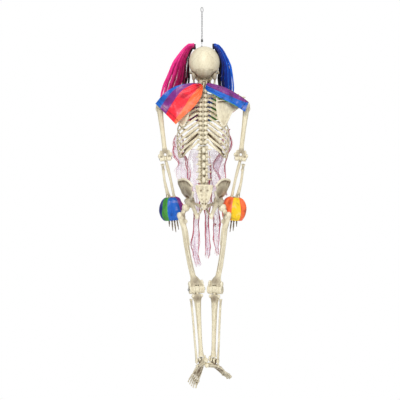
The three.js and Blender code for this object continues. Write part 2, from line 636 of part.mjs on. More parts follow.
function makeFoot(foot, side, s, toeOut) {
  const turned = (points) => points.map((p) =>
    vec(p).applyAxisAngle(vec([0, 0, 1]), -s * rad(toeOut)).toArray());
  const shapes = [
    across(0, 6.4, 7.6, 10),
    limb(turned([[0, -21, -18], [0, -16, -18], [0, -5, -14], [0, 8, -11], [0, 18, -11]]),
      [[3.6, 5], [6, 7.2], [6.4, 7.6], [8.6, 6.5], [11, 5.5]], { up: [0, 0, 1], steps: 5 }),
    limb(turned([[0, 10, -11], [0, 24, -12], [0, 38, -14.5]]), [[9, 6], [13, 5], [13, 3.6]],
      { up: [0, 0, 1], steps: 2 }),
  ];
  TOE_REACH.forEach((reach, i) => {
    const fan = -s * (11 - 5.4 * i);
    const big = i === 0 ? 1.5 : 1;
    const toe = [[fan * 0.9, 30, -13], [fan * 1.2, reach - 22, -18], [fan * 1.35, reach - 10, -18],
      [fan * 1.45, reach, -21]];
    shapes.push(limb(turned(toe), [[2.8 * big, 2.6], [2 * big, 2.2], [2.7 * big, 2.8], [1.8 * big, 1.8],
      [1.4 * big, 1.4]],
      { up: [0, 0, 1], sides: 5, steps: 4 }));
  });
  addPiece(foot, `foot_${side}`, 'bone', cut(join(shapes), block([0, 0, 4.6], [3.2 + 2 * GAP, 40, 18])));
}

function makeLeg(side, s) {
  const { inward, turnOut, footTurn, footPitch, toeOut } = LEG_POSE[side];
  const hip = addGroup(figure, [PELVIS_X + s * HIP_HALF_SPACING, 0, HIP_Z], [0, 0, -s * turnOut]);
  addPiece(hip, `hip_swivel_${side}`, 'bone', turningTongue(s, HIP_HEAD_RADIUS, 10.4));
  const thigh = addGroup(hip, [0, 0, 0], [0, s * inward, 0]);
  makeThigh(thigh, side, s);
  const shin = addGroup(thigh, [0, 0, -THIGH], [0, -s * KNEE_SLANT, 0]);
  makeShin(shin, side, s, -s * footTurn);
  const foot = addGroup(shin, [0, 0, -SHIN], [-footPitch, 0, -s * footTurn]);
  makeFoot(foot, side, s, toeOut);
}

// ---- satin cape and gauze --------------------------------------------------------------

const spline = (points) => new THREE.CatmullRomCurve3(points.map(([x, z]) => vec([x, 0, z])), false,
  'centripetal');

// Each wing hangs behind a shoulder blade. The lower edge and the upper edge run from nape to hem.
const WINGS = {
  left: {
    lower: [[0.5, -213], [-7, -244], [-32, -274], [-71, -311]],
    upper: [[-6, -205], [-33, -204], [-71, -212], [-101, -229.5], [-125, -256]],
  },
  right: {
    lower: [[6, -218], [17, -229], [56, -249], [110, -277]],
    upper: [[8, -207], [18.6, -204], [59, -216], [98, -237], [120, -252]],
  },
};
const WING_THICKNESS = 2;

const wingDepth = (x) => -63 + Math.max(0, Math.abs(x) - 70) * 0.42;
const chestDepth = (x, z) => (Math.abs(x) < 60 ? 57 - 0.008 * x * x : 28.2 - 0.6 * (Math.abs(x) - 60))
  + 0.1 * (-215 - z);

function makeCape() {
  for (const [side, { lower, upper }] of Object.entries(WINGS)) {
    const low = spline(lower);
    const high = spline(upper);
    const surface = (u, v) => {
      const t = side === 'left' ? 1 - u : u;
      const point = low.getPoint(t).lerp(high.getPoint(t), v);
      return [point.x, wingDepth(point.x), point.z];
    };
    addPiece(figure, `cape_wing_${side}`, 'satin', slab(surface, WING_THICKNESS, 8, 3));
  }
  const chest = (u, v) => {
    const x = mix(-95, 95, u);
    const z = mix(-297, -222, v) - (v - 0.4) * Math.abs(x) * 0.16;
    return [x, chestDepth(x, z), z];
  };
  addPiece(figure, 'cape_front', 'satin', slab(chest, WING_THICKNESS, 12, 3));
}

// Torn gauze strips that hang in front of the belly and between the legs: top, middle and tail points.
const GAUZE_THICKNESS = 1.5;
const GAUZE_LEAN = 22;            // how far a strip's lower end hangs in towards the legs

// Each strip has a path, half widths along it and its distance in front of the spine's line.
const GAUZE = {
  gauze_left: { path: [[-64, -334], [-66, -375], [-58, -420], [-52, -478]], half: [9, 13, 16, 10], y: 62 },
  gauze_right: { path: [[64, -318], [62, -360], [52, -420], [58, -500]], half: [8, 12, 16, 8], y: 62 },
  gauze_tail_left: {
    path: [[-22, -372], [-25, -430], [-20, -480], [-16, -530], [-17, -580], [-22, -634], [-15, -664],
      [-14, -688]],
    half: [14, 18, 12, 8, 5, 8, 9, 4],
    y: 60,
  },
  gauze_tail_middle: {
    path: [[6, -376], [10, -450], [10, -520], [11, -580], [14, -634], [10, -668]],
    half: [9, 12, 7, 4, 7, 4],
    y: 63,
  },
  gauze_tail_right: {
    path: [[32, -372], [34, -440], [32, -500], [37, -560], [35, -615], [38, -660]],
    half: [13, 16, 11, 7, 7, 4],
    y: 60,
  },
};

function gauzeStrip({ path, half, y }) {
  const middle = spline(path);
  return slab((u, v) => {
    const t = 1 - v;
    const slot = Math.min(Math.floor(t * (half.length - 1)), half.length - 2);
    const width = mix(half[slot], half[slot + 1], t * (half.length - 1) - slot);
    const point = middle.getPoint(t);
    return [point.x + mix(-width, width, u), y - GAUZE_LEAN * t * t, point.z];
  }, GAUZE_THICKNESS, 2, 8);
}

function makeGauze() {
  for (const [name, strip] of Object.entries(GAUZE)) {
    addPiece(figure, name, 'gauze', gauzeStrip(strip));
  }
}

// ---- assembly --------------------------------------------------------------------------

makeHanger();
makeSkull();
makeJaw();
makePigtails();
makeNeck();
makeRibs();
makeLowerSpine();
makeShoulderBlades();
makeHipBones();
for (const [side, s] of Object.entries(SIDES)) {
  makeArm(side, s);
  makeLeg(side, s);
}
makeCape();
makeGauze();

export default skeleton;
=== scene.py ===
"""A hanging, posable plastic skeleton in a rainbow costume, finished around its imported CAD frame."""
import json
import math
import random

import bpy
import numpy as np
from mathutils import Matrix, Vector, noise


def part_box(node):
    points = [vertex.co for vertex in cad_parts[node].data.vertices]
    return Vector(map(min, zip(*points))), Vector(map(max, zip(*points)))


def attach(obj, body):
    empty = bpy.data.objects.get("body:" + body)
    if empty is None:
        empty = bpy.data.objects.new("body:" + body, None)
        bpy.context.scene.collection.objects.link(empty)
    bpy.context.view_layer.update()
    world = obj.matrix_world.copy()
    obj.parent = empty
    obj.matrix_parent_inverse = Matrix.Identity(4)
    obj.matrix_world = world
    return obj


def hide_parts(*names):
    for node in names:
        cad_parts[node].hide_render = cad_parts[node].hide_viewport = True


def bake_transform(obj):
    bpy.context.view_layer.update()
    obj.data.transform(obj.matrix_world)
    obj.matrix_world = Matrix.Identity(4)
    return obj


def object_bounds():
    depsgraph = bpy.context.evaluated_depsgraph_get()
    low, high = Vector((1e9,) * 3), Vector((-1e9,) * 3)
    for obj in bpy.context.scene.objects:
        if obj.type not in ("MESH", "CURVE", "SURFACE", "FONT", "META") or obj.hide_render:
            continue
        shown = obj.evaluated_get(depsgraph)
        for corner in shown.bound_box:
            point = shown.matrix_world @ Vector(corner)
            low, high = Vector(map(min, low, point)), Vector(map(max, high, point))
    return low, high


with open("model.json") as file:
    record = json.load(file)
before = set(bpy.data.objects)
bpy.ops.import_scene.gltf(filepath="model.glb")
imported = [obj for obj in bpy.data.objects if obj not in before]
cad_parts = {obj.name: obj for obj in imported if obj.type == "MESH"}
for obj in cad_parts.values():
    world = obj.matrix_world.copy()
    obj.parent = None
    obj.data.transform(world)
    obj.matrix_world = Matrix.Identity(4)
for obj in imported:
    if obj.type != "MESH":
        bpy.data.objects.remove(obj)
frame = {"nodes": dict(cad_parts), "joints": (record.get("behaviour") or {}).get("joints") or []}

bl_info = {
    "name": "Hanging Skeleton",
    "version": (1, 0, 0),
    "blender": (4, 5, 0),
    "location": "3D View > Sidebar > Skeleton",
    "description": "Builds the bones, hair, satin and gauze of a hanging costume skeleton",
    "category": "Object",
}

MM = 0.001
CAD_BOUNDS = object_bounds()
SIDES = {"left": -1, "right": 1}
JOINTS = {joint["name"]: joint for joint in frame["joints"]}
UP = Vector((0, 0, 1))


def pivot(joint):
    """The point that a joint turns about."""
    return Vector(JOINTS[joint]["pos_m"])


FIGURE_X = (pivot("hip_swing_left").x + pivot("hip_swing_right").x) / 2 - 3 * MM   # the body's middle
HEAD = pivot("head_turn")


# ---- sizes and colours that a user would change --------------------------------------------

class BoneSettings(bpy.types.PropertyGroup):
    cream: bpy.props.FloatVectorProperty(name="Cream", description="Colour of the raised bone",
                                         subtype="COLOR",
                                         size=4, default=(0.84, 0.77, 0.57, 1))
    tan: bpy.props.FloatVectorProperty(name="Tan", description="Colour of the stained patches",
                                       subtype="COLOR",
                                       size=4, default=(0.56, 0.46, 0.28, 1))
    # The wash colour is partly a brown paint wash and partly painted shade in the hollows.
    wash: bpy.props.FloatVectorProperty(name="Wash", description="Brown wash left in the hollows",
                                        subtype="COLOR",
                                        size=4, default=(0.13, 0.08, 0.045, 1))
    wash_depth: bpy.props.FloatProperty(name="Wash depth", description="How strongly hollows are darkened",
                                        default=1.05, min=0, max=2, subtype="FACTOR")
    relief: bpy.props.FloatProperty(name="Relief", description="Height of the cast surface's unevenness",
                                    default=0.25 * MM, min=0, max=0.002, unit="LENGTH")


class SatinSettings(bpy.types.PropertyGroup):
    thickness: bpy.props.FloatProperty(name="Thickness", description="Thickness of the satin",
                                       default=0.5 * MM,
                                       min=0.0001, max=0.003, unit="LENGTH")
    fold: bpy.props.FloatProperty(name="Fold height", description="Height of the folds at the hem",
                                  default=4 * MM,
                                  min=0, max=0.02, unit="LENGTH")
    gloss: bpy.props.FloatProperty(name="Gloss", description="Smoothness of the weave", default=0.66, min=0,
                                   max=1,
                                   subtype="FACTOR")


class HairSettings(bpy.types.PropertyGroup):
    strands: bpy.props.IntProperty(name="Strands", description="Strands in each bunch", default=950, min=50,
                                   max=2000)
    thickness: bpy.props.FloatProperty(name="Strand radius", description="Radius of a lock of fibres",
                                       default=0.7 * MM, min=0.0001, max=0.002, unit="LENGTH")


class GauzeSettings(bpy.types.PropertyGroup):
    thickness: bpy.props.FloatProperty(name="Thickness", description="Thickness of the gauze",
                                       default=0.3 * MM,
                                       min=0.0001, max=0.002, unit="LENGTH")
    mesh_count: bpy.props.FloatProperty(name="Threads per metre",
                                        description="Threads across a metre of gauze",
                                        default=420, min=100, max=2000)


class StageSettings(bpy.types.PropertyGroup):
    distance: bpy.props.FloatProperty(name="Camera distance", description="From the camera to the figure",
                                      default=4.0, min=1, max=20, unit="LENGTH")
    field: bpy.props.FloatProperty(name="Field width", description="Width of the view at the figure",
                                   default=1.06,
                                   min=0.2, max=5, unit="LENGTH")


def settings(kind):
    return getattr(bpy.context.scene, f"skeleton_{kind}")


# ---- shader building -----------------------------------------------------------------------

class Socket:
    """A shader socket: arithmetic on it adds Math nodes."""

    def __init__(self, shader, output):
        self.shader = shader
        self.output = output

    def _math(self, operation, first, second=0.0, clamp=False):
        made = self.shader.add("ShaderNodeMath", {"operation": operation, "use_clamp": clamp},
                               {0: first, 1: second})
        return made[0]

    def __add__(self, other):
        return self._math("ADD", self, other)

    def __radd__(self, other):
        return self._math("ADD", other, self)

    def __sub__(self, other):
        return self._math("SUBTRACT", self, other)

    def __rsub__(self, other):
        return self._math("SUBTRACT", other, self)

    def __mul__(self, other):
        return self._math("MULTIPLY", self, other)

    def __rmul__(self, other):
        return self._math("MULTIPLY", other, self)

    def __pow__(self, other):
        return self._math("POWER", self, other)

    def wave(self):
        return self._math("SINE", self)

    def size(self):
        return self._math("ABSOLUTE", self)

    def above(self, other):
        return self._math("GREATER_THAN", self, other)

    def clamped(self):
        return self._math("ADD", self, 0.0, clamp=True)

    def between(self, low, high):
        """0 below low, 1 above high and smooth in between."""
        made = self.shader.add("ShaderNodeMapRange", {"interpolation_type": "SMOOTHSTEP"},
                               {"Value": self, "From Min": low, "From Max": high})
        return made[0]


class Made:
    """A node that was made: made[name] is one of its outputs."""

    def __init__(self, shader, node):
        self.shader = shader
        self.node = node

    def __getitem__(self, key):
        return Socket(self.shader, self.node.outputs[key])


class Shader:
    """One material and the nodes that it is made of."""

    def __init__(self, name):
        self.material = bpy.data.materials.new(name)
        self.material.use_nodes = True
        self.tree = self.material.node_tree
        self.surface = self.tree.nodes["Principled BSDF"]

    def add(self, kind, choices=None, inputs=None):
        node = self.tree.nodes.new(kind)
        for name, value in (choices or {}).items():
            if name == "stops":
                self._set_stops(node.color_ramp, value)
            else:
                setattr(node, name, value)
        for name, value in (inputs or {}).items():
            self._feed(node.inputs[name], value)
        return Made(self, node)

    def _feed(self, socket, value):
        if isinstance(value, Socket):
            self.tree.links.new(value.output, socket)
        else:
            socket.default_value = value

    def _set_stops(self, ramp, stops):
        for element in list(ramp.elements)[1:]:
            ramp.elements.remove(element)
        ramp.elements[0].position, ramp.elements[0].color = stops[0]
        for place, colour in stops[1:]:
            ramp.elements.new(place).color = colour

    def place(self):
        return self.add("ShaderNodeTexCoord")["Object"]

    def attribute(self, name):
        return self.add("ShaderNodeAttribute", {"attribute_name": name})["Fac"]

    def noise(self, where, scale, detail=3.0, roughness=0.55):
        made = self.add("ShaderNodeTexNoise", {}, {"Vector": where, "Scale": scale, "Detail": detail,
                                                    "Roughness": roughness})
        return made["Fac"]

    def mix(self, amount, first, second):
        """A colour between two colours."""
        node = self.tree.nodes.new("ShaderNodeMix")
        node.data_type = "RGBA"
        self._feed(node.inputs[0], amount)
        self._feed(node.inputs[6], first)
        self._feed(node.inputs[7], second)
        return Socket(self, node.outputs[2])

    def ramp(self, value, stops, interpolation="LINEAR"):
        made = self.add("ShaderNodeValToRGB", {"stops": stops}, {"Fac": value})
        made.node.color_ramp.interpolation = interpolation
        return made["Color"]

    def bump(self, height, strength, distance):
        made = self.add("ShaderNodeBump", {},
                        {"Height": height, "Strength": strength, "Distance": distance})
        return made["Normal"]

    def finish(self, **inputs):
        for name, value in inputs.items():
            self._feed(self.surface.inputs[name.replace("_", " ").title().replace("Ior", "IOR")], value)
        return self.material


def rgb(red, green, blue):
    """A colour given in the 0 to 255 numbers of a paint chart, as linear light."""
    def linear(part):
        part /= 255
        return part / 12.92 if part <= 0.04045 else ((part + 0.055) / 1.055) ** 2.4
    return (linear(red), linear(green), linear(blue), 1)


_materials = {}


def material(maker, *choices):
    """Each finish is made once and then shared."""
    key = (maker.__name__, *choices)
    if key not in _materials:
        _materials[key] = maker(*choices)
    return _materials[key]


def bone_finish():
    look = settings("bone")
    shader = Shader("cast_bone")
    where = shader.place()
    hollow = shader.attribute("hollow")
    raised = shader.attribute("raised")
    drawn_out = shader.add("ShaderNodeVectorMath", {"operation": "MULTIPLY"},
                           {0: where, 1: (1, 1, 0.35)})["Vector"]
    patches = shader.noise(drawn_out, 55, 4)
    speckle = shader.noise(drawn_out, 420, 3)
    grain = shader.noise(where, 1500, 2)
    # Tan patches are the plastic's own stains.
    stain = (patches * 0.55 + speckle * 0.45).between(0.40, 0.66)
    base = shader.mix(stain * 0.5, tuple(look.cream), tuple(look.tan))
    # Raised edges lighten toward a painted highlight.
    base = shader.mix((raised * 0.55).clamped(), base, rgb(243, 237, 218))
    # Hollows darken with a brown wash that is partly painted shade.
    wash = (hollow * look.wash_depth + (speckle - 0.5) * 0.35 * hollow).clamped()
    colour = shader.mix(wash, base, tuple(look.wash))
    height = speckle * 0.7 + grain * 0.3
    return shader.finish(base_color=colour, roughness=(stain * 0.12 + hollow * 0.2 + 0.42),
                         normal=shader.bump(height, 0.35, 0.0004), specular_ior_level=0.4)


def steel_finish(name, tone, roughness, scratch):
    shader = Shader(name)
    where = shader.place()
    smear = shader.noise(where, 300, 3)
    fine = shader.noise(where, 2600, 2)
    colour = shader.mix(smear, (tone * 0.75, tone * 0.76, tone * 0.78, 1), (tone, tone, tone * 1.01, 1))
    return shader.finish(base_color=colour, metallic=1.0, roughness=(smear * 0.2 + roughness),
                         normal=shader.bump(fine, scratch, 0.0002))


def zinc():
    return material(steel_finish, "zinc_screw", 0.55, 0.3, 0.25)


# ---- modelling tools -----------------------------------------------------------------------

def only(*pieces):
    """Selects these objects and nothing else."""
    bpy.ops.object.select_all(action="DESELECT")
    for piece in pieces:
        piece.select_set(True)
    bpy.context.view_layer.objects.active = pieces[0]


def apply_modifier(piece, kind, **choices):
    modifier = piece.modifiers.new(kind.lower(), kind)
    for name, value in choices.items():
        setattr(modifier, name, value)
    only(piece)
    bpy.ops.object.modifier_apply(modifier=modifier.name)


def tidy_faces(piece):
    only(piece)
    bpy.ops.object.mode_set(mode="EDIT")
    bpy.ops.mesh.select_all(action="SELECT")
    bpy.ops.mesh.remove_doubles(threshold=1e-6)
    bpy.ops.mesh.normals_make_consistent(inside=False)
    bpy.ops.object.mode_set(mode="OBJECT")


def rest_in_place(piece):
    """Puts a piece's place into its mesh, so that its object sits at the origin."""
    only(piece)
    bpy.ops.object.transform_apply(location=True, rotation=True, scale=True)


def smooth_shaded(piece):
    only(piece)
    bpy.ops.object.shade_smooth()


def join_all(pieces, name):
    only(*pieces)
    if len(pieces) > 1:
        bpy.ops.object.join()
    joined = bpy.context.view_layer.objects.active
    joined.name = name
    joined.data.name = name
    return joined


def added(name):
    piece = bpy.context.view_layer.objects.active
    piece.name = name
    return piece


def ball(centre, radii, turn=(0, 0, 0), rings=12):
    bpy.ops.mesh.primitive_uv_sphere_add(segments=rings * 2, ring_count=rings, radius=1, location=centre,
                                         rotation=turn)
    piece = added("ball")
    piece.scale = radii
    rest_in_place(piece)
    return piece


def bar(start, end, radius, end_radius=None, sides=16):
    """A round bar, or a tapered one, between two points."""
    start, end = Vector(start), Vector(end)
    along = end - start
    turn = along.to_track_quat("Z", "Y").to_euler()
    bpy.ops.mesh.primitive_cone_add(vertices=sides, radius1=radius,
                                    radius2=radius if end_radius is None else end_radius,
                                    depth=along.length, location=(start + end) / 2, rotation=turn)
    piece = added("bar")
    rest_in_place(piece)
    return piece


def copy_node(node, name):
    """A merged copy of a CAD solid, as the rough shape to work on."""
    piece = bpy.data.objects.new(name, frame["nodes"][node].data.copy())
    bpy.context.collection.objects.link(piece)
    piece.data.materials.clear()
    only(piece)
    bpy.ops.object.mode_set(mode="EDIT")
    bpy.ops.mesh.select_all(action="SELECT")
    bpy.ops.mesh.remove_doubles(threshold=1e-6)
    bpy.ops.object.mode_set(mode="OBJECT")
    return piece


def neighbours_mean(values, edges, count):
    total = np.zeros_like(values)
    for column in range(values.shape[1]):
        total[:, column] += np.bincount(edges[:, 0], values[edges[:, 1], column], count)
        total[:, column] += np.bincount(edges[:, 1], values[edges[:, 0], column], count)
    shared = np.bincount(edges.ravel(), minlength=count).reshape(-1, 1)
    return total / np.maximum(shared, 1)


def mesh_arrays(piece):
    mesh = piece.data
    points = np.empty(len(mesh.vertices) * 3)
    mesh.vertices.foreach_get("co", points)
    normals = np.empty(len(mesh.vertices) * 3)
    mesh.vertices.foreach_get("normal", normals)
    return points.reshape(-1, 3), normals.reshape(-1, 3)


def move_points(piece, points):
    piece.data.vertices.foreach_set("co", points.ravel())
    piece.data.update()


def edge_pairs(mesh):
    edges = np.empty(len(mesh.edges) * 2, dtype=np.int64)
    mesh.edges.foreach_get("vertices", edges)
    return edges.reshape(-1, 2)


def roll_out(piece, rounds):
    """Removes facets and steps without shrinking thin parts."""
    points, _ = mesh_arrays(piece)
    edges = edge_pairs(piece.data)
    for factor in (0.63, -0.65) * rounds:
        points = points + factor * (neighbours_mean(points, edges, len(points)) - points)
    move_points(piece, points)


def mark_hollows(piece, rounds=40, depth=0.9 * MM):
    """Stores how sunken and how raised each point is: the hollows get a brown wash that is partly painted
    shade, and the raised edges a painted highlight.
    """
    mesh = piece.data
    count = len(mesh.vertices)
    points, normals = mesh_arrays(piece)
    edges = edge_pairs(mesh)
    blurred = points.copy()
    for _ in range(rounds):
        blurred = neighbours_mean(blurred, edges, count)
    sunk = ((blurred - points) * normals).sum(axis=1)
    usual = np.median(sunk)
    marks = np.clip(np.stack([(sunk - usual) / depth, (usual - sunk) / depth - 0.4], axis=1), 0, 1)
    for _ in range(4):
        marks = (marks + neighbours_mean(marks, edges, count)) / 2
    for name, column in (("hollow", 0), ("raised", 1)):
        layer = mesh.attributes.new(name, "FLOAT", "POINT")
        layer.data.foreach_set("value", marks[:, column].astype(np.float32))


RELIEF_SCALE = 90      # how many bumps of the cast surface there are in a metre
SMOOTHING = 4          # smoothing steps for each of a casting's rounds


def cast(piece, voxel, rounds=8, relief=None):
    """Melts the joined shapes of a bone into one smooth casting with a slightly uneven surface."""
    apply_modifier(piece, "REMESH", mode="VOXEL", voxel_size=voxel, use_smooth_shade=True)
    roll_out(piece, SMOOTHING * rounds)
    height = settings("bone").relief if relief is None else relief
    if height:
        points, normals = mesh_arrays(piece)
        bumps = (noise.fractal(Vector(p) * RELIEF_SCALE, 1.0, 2.0, 2) for p in points)
        push = np.fromiter(bumps, float, len(points))
        move_points(piece, points + normals * (push * height).reshape(-1, 1))
    mark_hollows(piece)


def settle(piece, body, slot, look, *nodes):
    """Gives a finished piece its material and its body, and hides the CAD nodes that it stands for."""
    piece.data.materials.clear()
    piece.data.materials.append(look)
    smooth_shaded(piece)
    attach(piece, body)
    if nodes:
        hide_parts(*nodes)
    return piece


def cast_bone(node, name, body, voxel, extras=(), rounds=8, relief=None):
    piece = copy_node(node, name)
    if extras:
        piece = join_all([piece, *extras], name)
    cast(piece, voxel, rounds, relief)
    return settle(piece, body, "bone", material(bone_finish), node)


# ---- the body's own frames, in millimetres from each joint ---------------------------------

ARM_POSE = {"inward": 5.5, "forward": 6, "elbow": 13, "wrist": 13}
LEG_POSE = {
    "left": {"inward": 7.7, "turn_out": 14, "foot_turn": 2, "foot_pitch": 50, "toe_out": 17},
    "right": {"inward": 5.3, "turn_out": 20, "foot_turn": 16, "foot_pitch": 24, "toe_out": 10},
}
KNEE_SLANT = 4


def turned(axis, degrees):
    return Matrix.Rotation(math.radians(degrees), 4, axis)


def placed(origin, *turns):
    """A frame at an origin, turned by each matrix in order; its units are millimetres."""
    frame_matrix = Matrix.Translation(origin)
    for turn in turns:
        frame_matrix = frame_matrix @ turn
    return frame_matrix @ Matrix.Scale(MM, 4)


def arm_frames(side):
    s = SIDES[side]
    arm = [turned("X", ARM_POSE["forward"]), turned("Y", s * ARM_POSE["inward"])]
    fore = [*arm, turned("X", ARM_POSE["elbow"])]
    return {
        "arm": placed(pivot(f"shoulder_swing_{side}"), *arm),
        "forearm": placed(pivot(f"elbow_{side}"), *fore),
        "hand": placed(pivot(f"wrist_{side}"), *fore, turned("X", -ARM_POSE["wrist"])),
    }


def leg_frames(side):
    s = SIDES[side]
    pose = LEG_POSE[side]
    thigh = [turned("Z", -s * pose["turn_out"]), turned("Y", s * pose["inward"])]
    shin = [*thigh, turned("Y", -s * KNEE_SLANT)]
    foot = [*shin, turned("Z", -s * pose["foot_turn"]), turned("X", -pose["foot_pitch"])]
    return {
        "thigh": placed(pivot(f"hip_swing_{side}"), *thigh),
        "shin": placed(pivot(f"knee_{side}"), *shin),
        "foot": placed(pivot(f"ankle_{side}"), *foot, turned("Z", -s * pose["toe_out"])),
    }


TORSO = placed(Vector((FIGURE_X, 0, 0)))
SKULL = placed(Vector((HEAD.x, 0, 0)))


def lump(where, centre, radii):
    """An egg-shaped swelling on a bone."""
    turn = where.to_quaternion().to_euler()
    return ball(where @ Vector(centre), [radius * MM for radius in radii], turn)


def bump_pair(where, centre, radii):
    x, y, z = centre
    return [lump(where, (side * x, y, z), radii) for side in (-1, 1)]


def tube(points, radii, name="tube", sides=3, closed=False):
    """A round bar that swells and narrows along a smooth line of points, as a closed mesh."""
    curve = bpy.data.curves.new(name, "CURVE")
    curve.dimensions = "3D"
    curve.bevel_depth = 1.0
    curve.bevel_resolution = sides
    curve.resolution_u = 6
    curve.use_fill_caps = True
    spline = curve.splines.new("BEZIER")
    spline.bezier_points.add(len(points) - 1)
    spline.use_cyclic_u = closed
    for bezier, point, radius in zip(spline.bezier_points, points, radii):
        bezier.co = point
        bezier.radius = radius
        bezier.handle_left_type = bezier.handle_right_type = "AUTO"
    piece = bpy.data.objects.new(name, curve)
    bpy.context.collection.objects.link(piece)
    only(piece)
    bpy.ops.object.convert(target="MESH")
    tidy_faces(piece)
    return piece


def ridge(where, points, *radii):
    """A raised line or a strut of bone; its radii run from its first point to its last."""
    widths = [radii[min(i, len(radii) - 1)] * MM for i in range(len(points))]
    return tube([where @ Vector(point) for point in points], widths)


def press(piece, strength, depth):
    """Presses the surface in by depth wherever strength is 1, and darkens it there with brown wash and
    painted shade.
    """
    points, normals = mesh_arrays(piece)
    move_points(piece, points - normals * (strength * depth).reshape(-1, 1))
    stain(piece, strength)


def rework(piece, name, change):
    """Replaces a painted attribute's values by change(values)."""
    layer = piece.data.attributes[name]
    values = np.empty(len(piece.data.vertices), dtype=np.float32)
    layer.data.foreach_get("value", values)
    layer.data.foreach_set("value", change(values).astype(np.float32))


def stain(piece, strength):
    """Raises the brown wash and painted shade to at least this strength."""
    rework(piece, "hollow", lambda wash: np.maximum(wash, strength))


def soften_wash(piece, share):
    """Keeps only this share of the brown wash and painted shade that the casting's own hollows gave."""
    rework(piece, "hollow", lambda wash: wash * share)


def near(points, centre, radius):
    """1 at a centre, falling smoothly to 0 at a radius away."""
    distance = np.linalg.norm(points - np.array(centre), axis=1) / radius
    return np.clip(1 - distance, 0, 1) ** 0.5


def dent(piece, centre, radius, depth):
    points, _ = mesh_arrays(piece)
    press(piece, near(points, centre, radius), depth)


# ---- bones ---------------------------------------------------------------------------------

def tooth(where, centre, size, lean):
    x, y, z = centre
    width, height = size
    return ridge(where, [(x, y - lean, z + height), (x, y, z + height * 0.4), (x, y + lean, z - height)],
                 width * 0.8, width, width * 0.75)


def tooth_row(where, z, depth, height, lean):
    """Fourteen teeth on an arch, small at the front and broad at the back."""
    teeth = []
    for i in range(14):
        angle = math.radians(-78 + 12 * i)
        size = 1.7 + 0.7 * abs(angle)
        teeth.append(tooth(where, (15.5 * math.sin(angle), depth - 15 + 16 * math.cos(angle), z),
                           (size, height), lean))
    return teeth


class SKELETON_OT_head(bpy.types.Operator):
    """Makes the skull and the hinged jaw with their teeth"""
    bl_idname = "skeleton.head"
    bl_label = "Skull and jaw"

    vault_centre = (0, -3, -145)
    vault_radii = (40.5, 50.5, 42.5)

    def execute(self, context):
        brow = [ridge(SKULL, [(s * 26, 34, -153), (s * 15, 45, -149), (s * 4, 49, -152)], 3, 3.6,
                      2.6) for s in (-1, 1)]
        nose = [ridge(SKULL, [(0, 46, -153), (0, 52, -160), (0, 54, -165)], 3.4, 3, 2)]
        cheeks = bump_pair(SKULL, (24, 35, -176), (6.5, 6, 5))
        vault = [lump(SKULL, self.vault_centre, self.vault_radii)]
        nuchal = [ridge(SKULL, [(-30, -11, -171), (-18, -36.9, -168), (0, -45.2, -165.5), (18, -36.9, -168),
                                (30, -11, -171)],
                        1.4, 2.2, 2.4, 2.2, 1.4)]
        mastoids = bump_pair(SKULL, (27.5, -11, -184), (5.5, 7, 9))
        sides = bump_pair(SKULL, (30, 22, -157), (6, 9, 9))
        teeth = tooth_row(SKULL, -200.4, 47, 2.8, 0.3)
        skull = cast_bone("skull", "skull_bone", "head", 1.1 * MM,
                          [*vault, *brow, *nose, *cheeks, *nuchal, *mastoids, *sides, *teeth],
                          rounds=5)
        self.round_vault(skull)
        self.wash_skull(skull)
        low_teeth = tooth_row(SKULL, -206.4, 46, 2.5, -0.3)
        chin = [lump(SKULL, (0, 47, -217), (8, 4, 4.5))]
        cast_bone("jaw", "jaw_bone", "jaw", 0.8 * MM, [*low_teeth, *chin], rounds=4)
        return {"FINISHED"}

    def round_vault(self, skull):
        """Brings the braincase onto one smooth egg shape, clear of the facets underneath."""
        points, _ = mesh_arrays(skull)
        centre = np.array(SKULL @ Vector(self.vault_centre))
        away = points - centre
        level = np.linalg.norm(away / (np.array(self.vault_radii) * MM), axis=1)
        _, y, z = ((points - np.array([HEAD.x, 0, 0])) / MM).T
        on_vault = np.clip((z + 168) / 5, 0, 1) * np.clip((24 - y) / 10, 0, 1) * (np.abs(level - 1) < 0.09)
        on_vault = on_vault * (1 - near(points, (HEAD.x, 0, -103 * MM), 7 * MM) > 0.99)
        relief = np.fromiter((noise.noise(Vector(p) * 60) for p in points), float, len(points))
        reach = (1.004 + 0.003 * relief) / level
        move_points(skull, centre + away * (1 + (reach - 1) * on_vault).reshape(-1, 1))
        for name in ("hollow", "raised"):
            rework(skull, name, lambda value: value * (1 - on_vault))

    def wash_skull(self, skull):
        """Paints shadow, with brown wash, on the underside behind the nuchal line under the vault's
        overhang, and draws the sutures.
        """
        points, _ = mesh_arrays(skull)
        x, y, z = ((points - np.array([HEAD.x, 0, 0])) / MM).T
        line = -166.5 - 0.0055 * x * x
        below = np.clip((line - z) / 3, 0, 1) * np.clip(1 - (y - 5) / 15, 0, 1)
        # Painted shadow and brown wash under the vault's overhang, below the nuchal line.
        stain(skull, below * (0.46 + 0.2 * np.clip((line - z - 8) / 14, 0, 1)))
        wiggle = 1.1 * np.sin(x * 0.9) + 0.7 * np.sin(x * 2.3 + 1)
        lambda_line = np.abs(z - (-112.5 - 1.05 * np.abs(x) + wiggle))
        seam = np.clip(1 - lambda_line / 0.9, 0, 1) * (y < -22) * (np.abs(x) < 34)
        # The suture grooves are darkened with brown wash and painted shade.
        press(skull, seam * 0.35, 0.5 * MM)


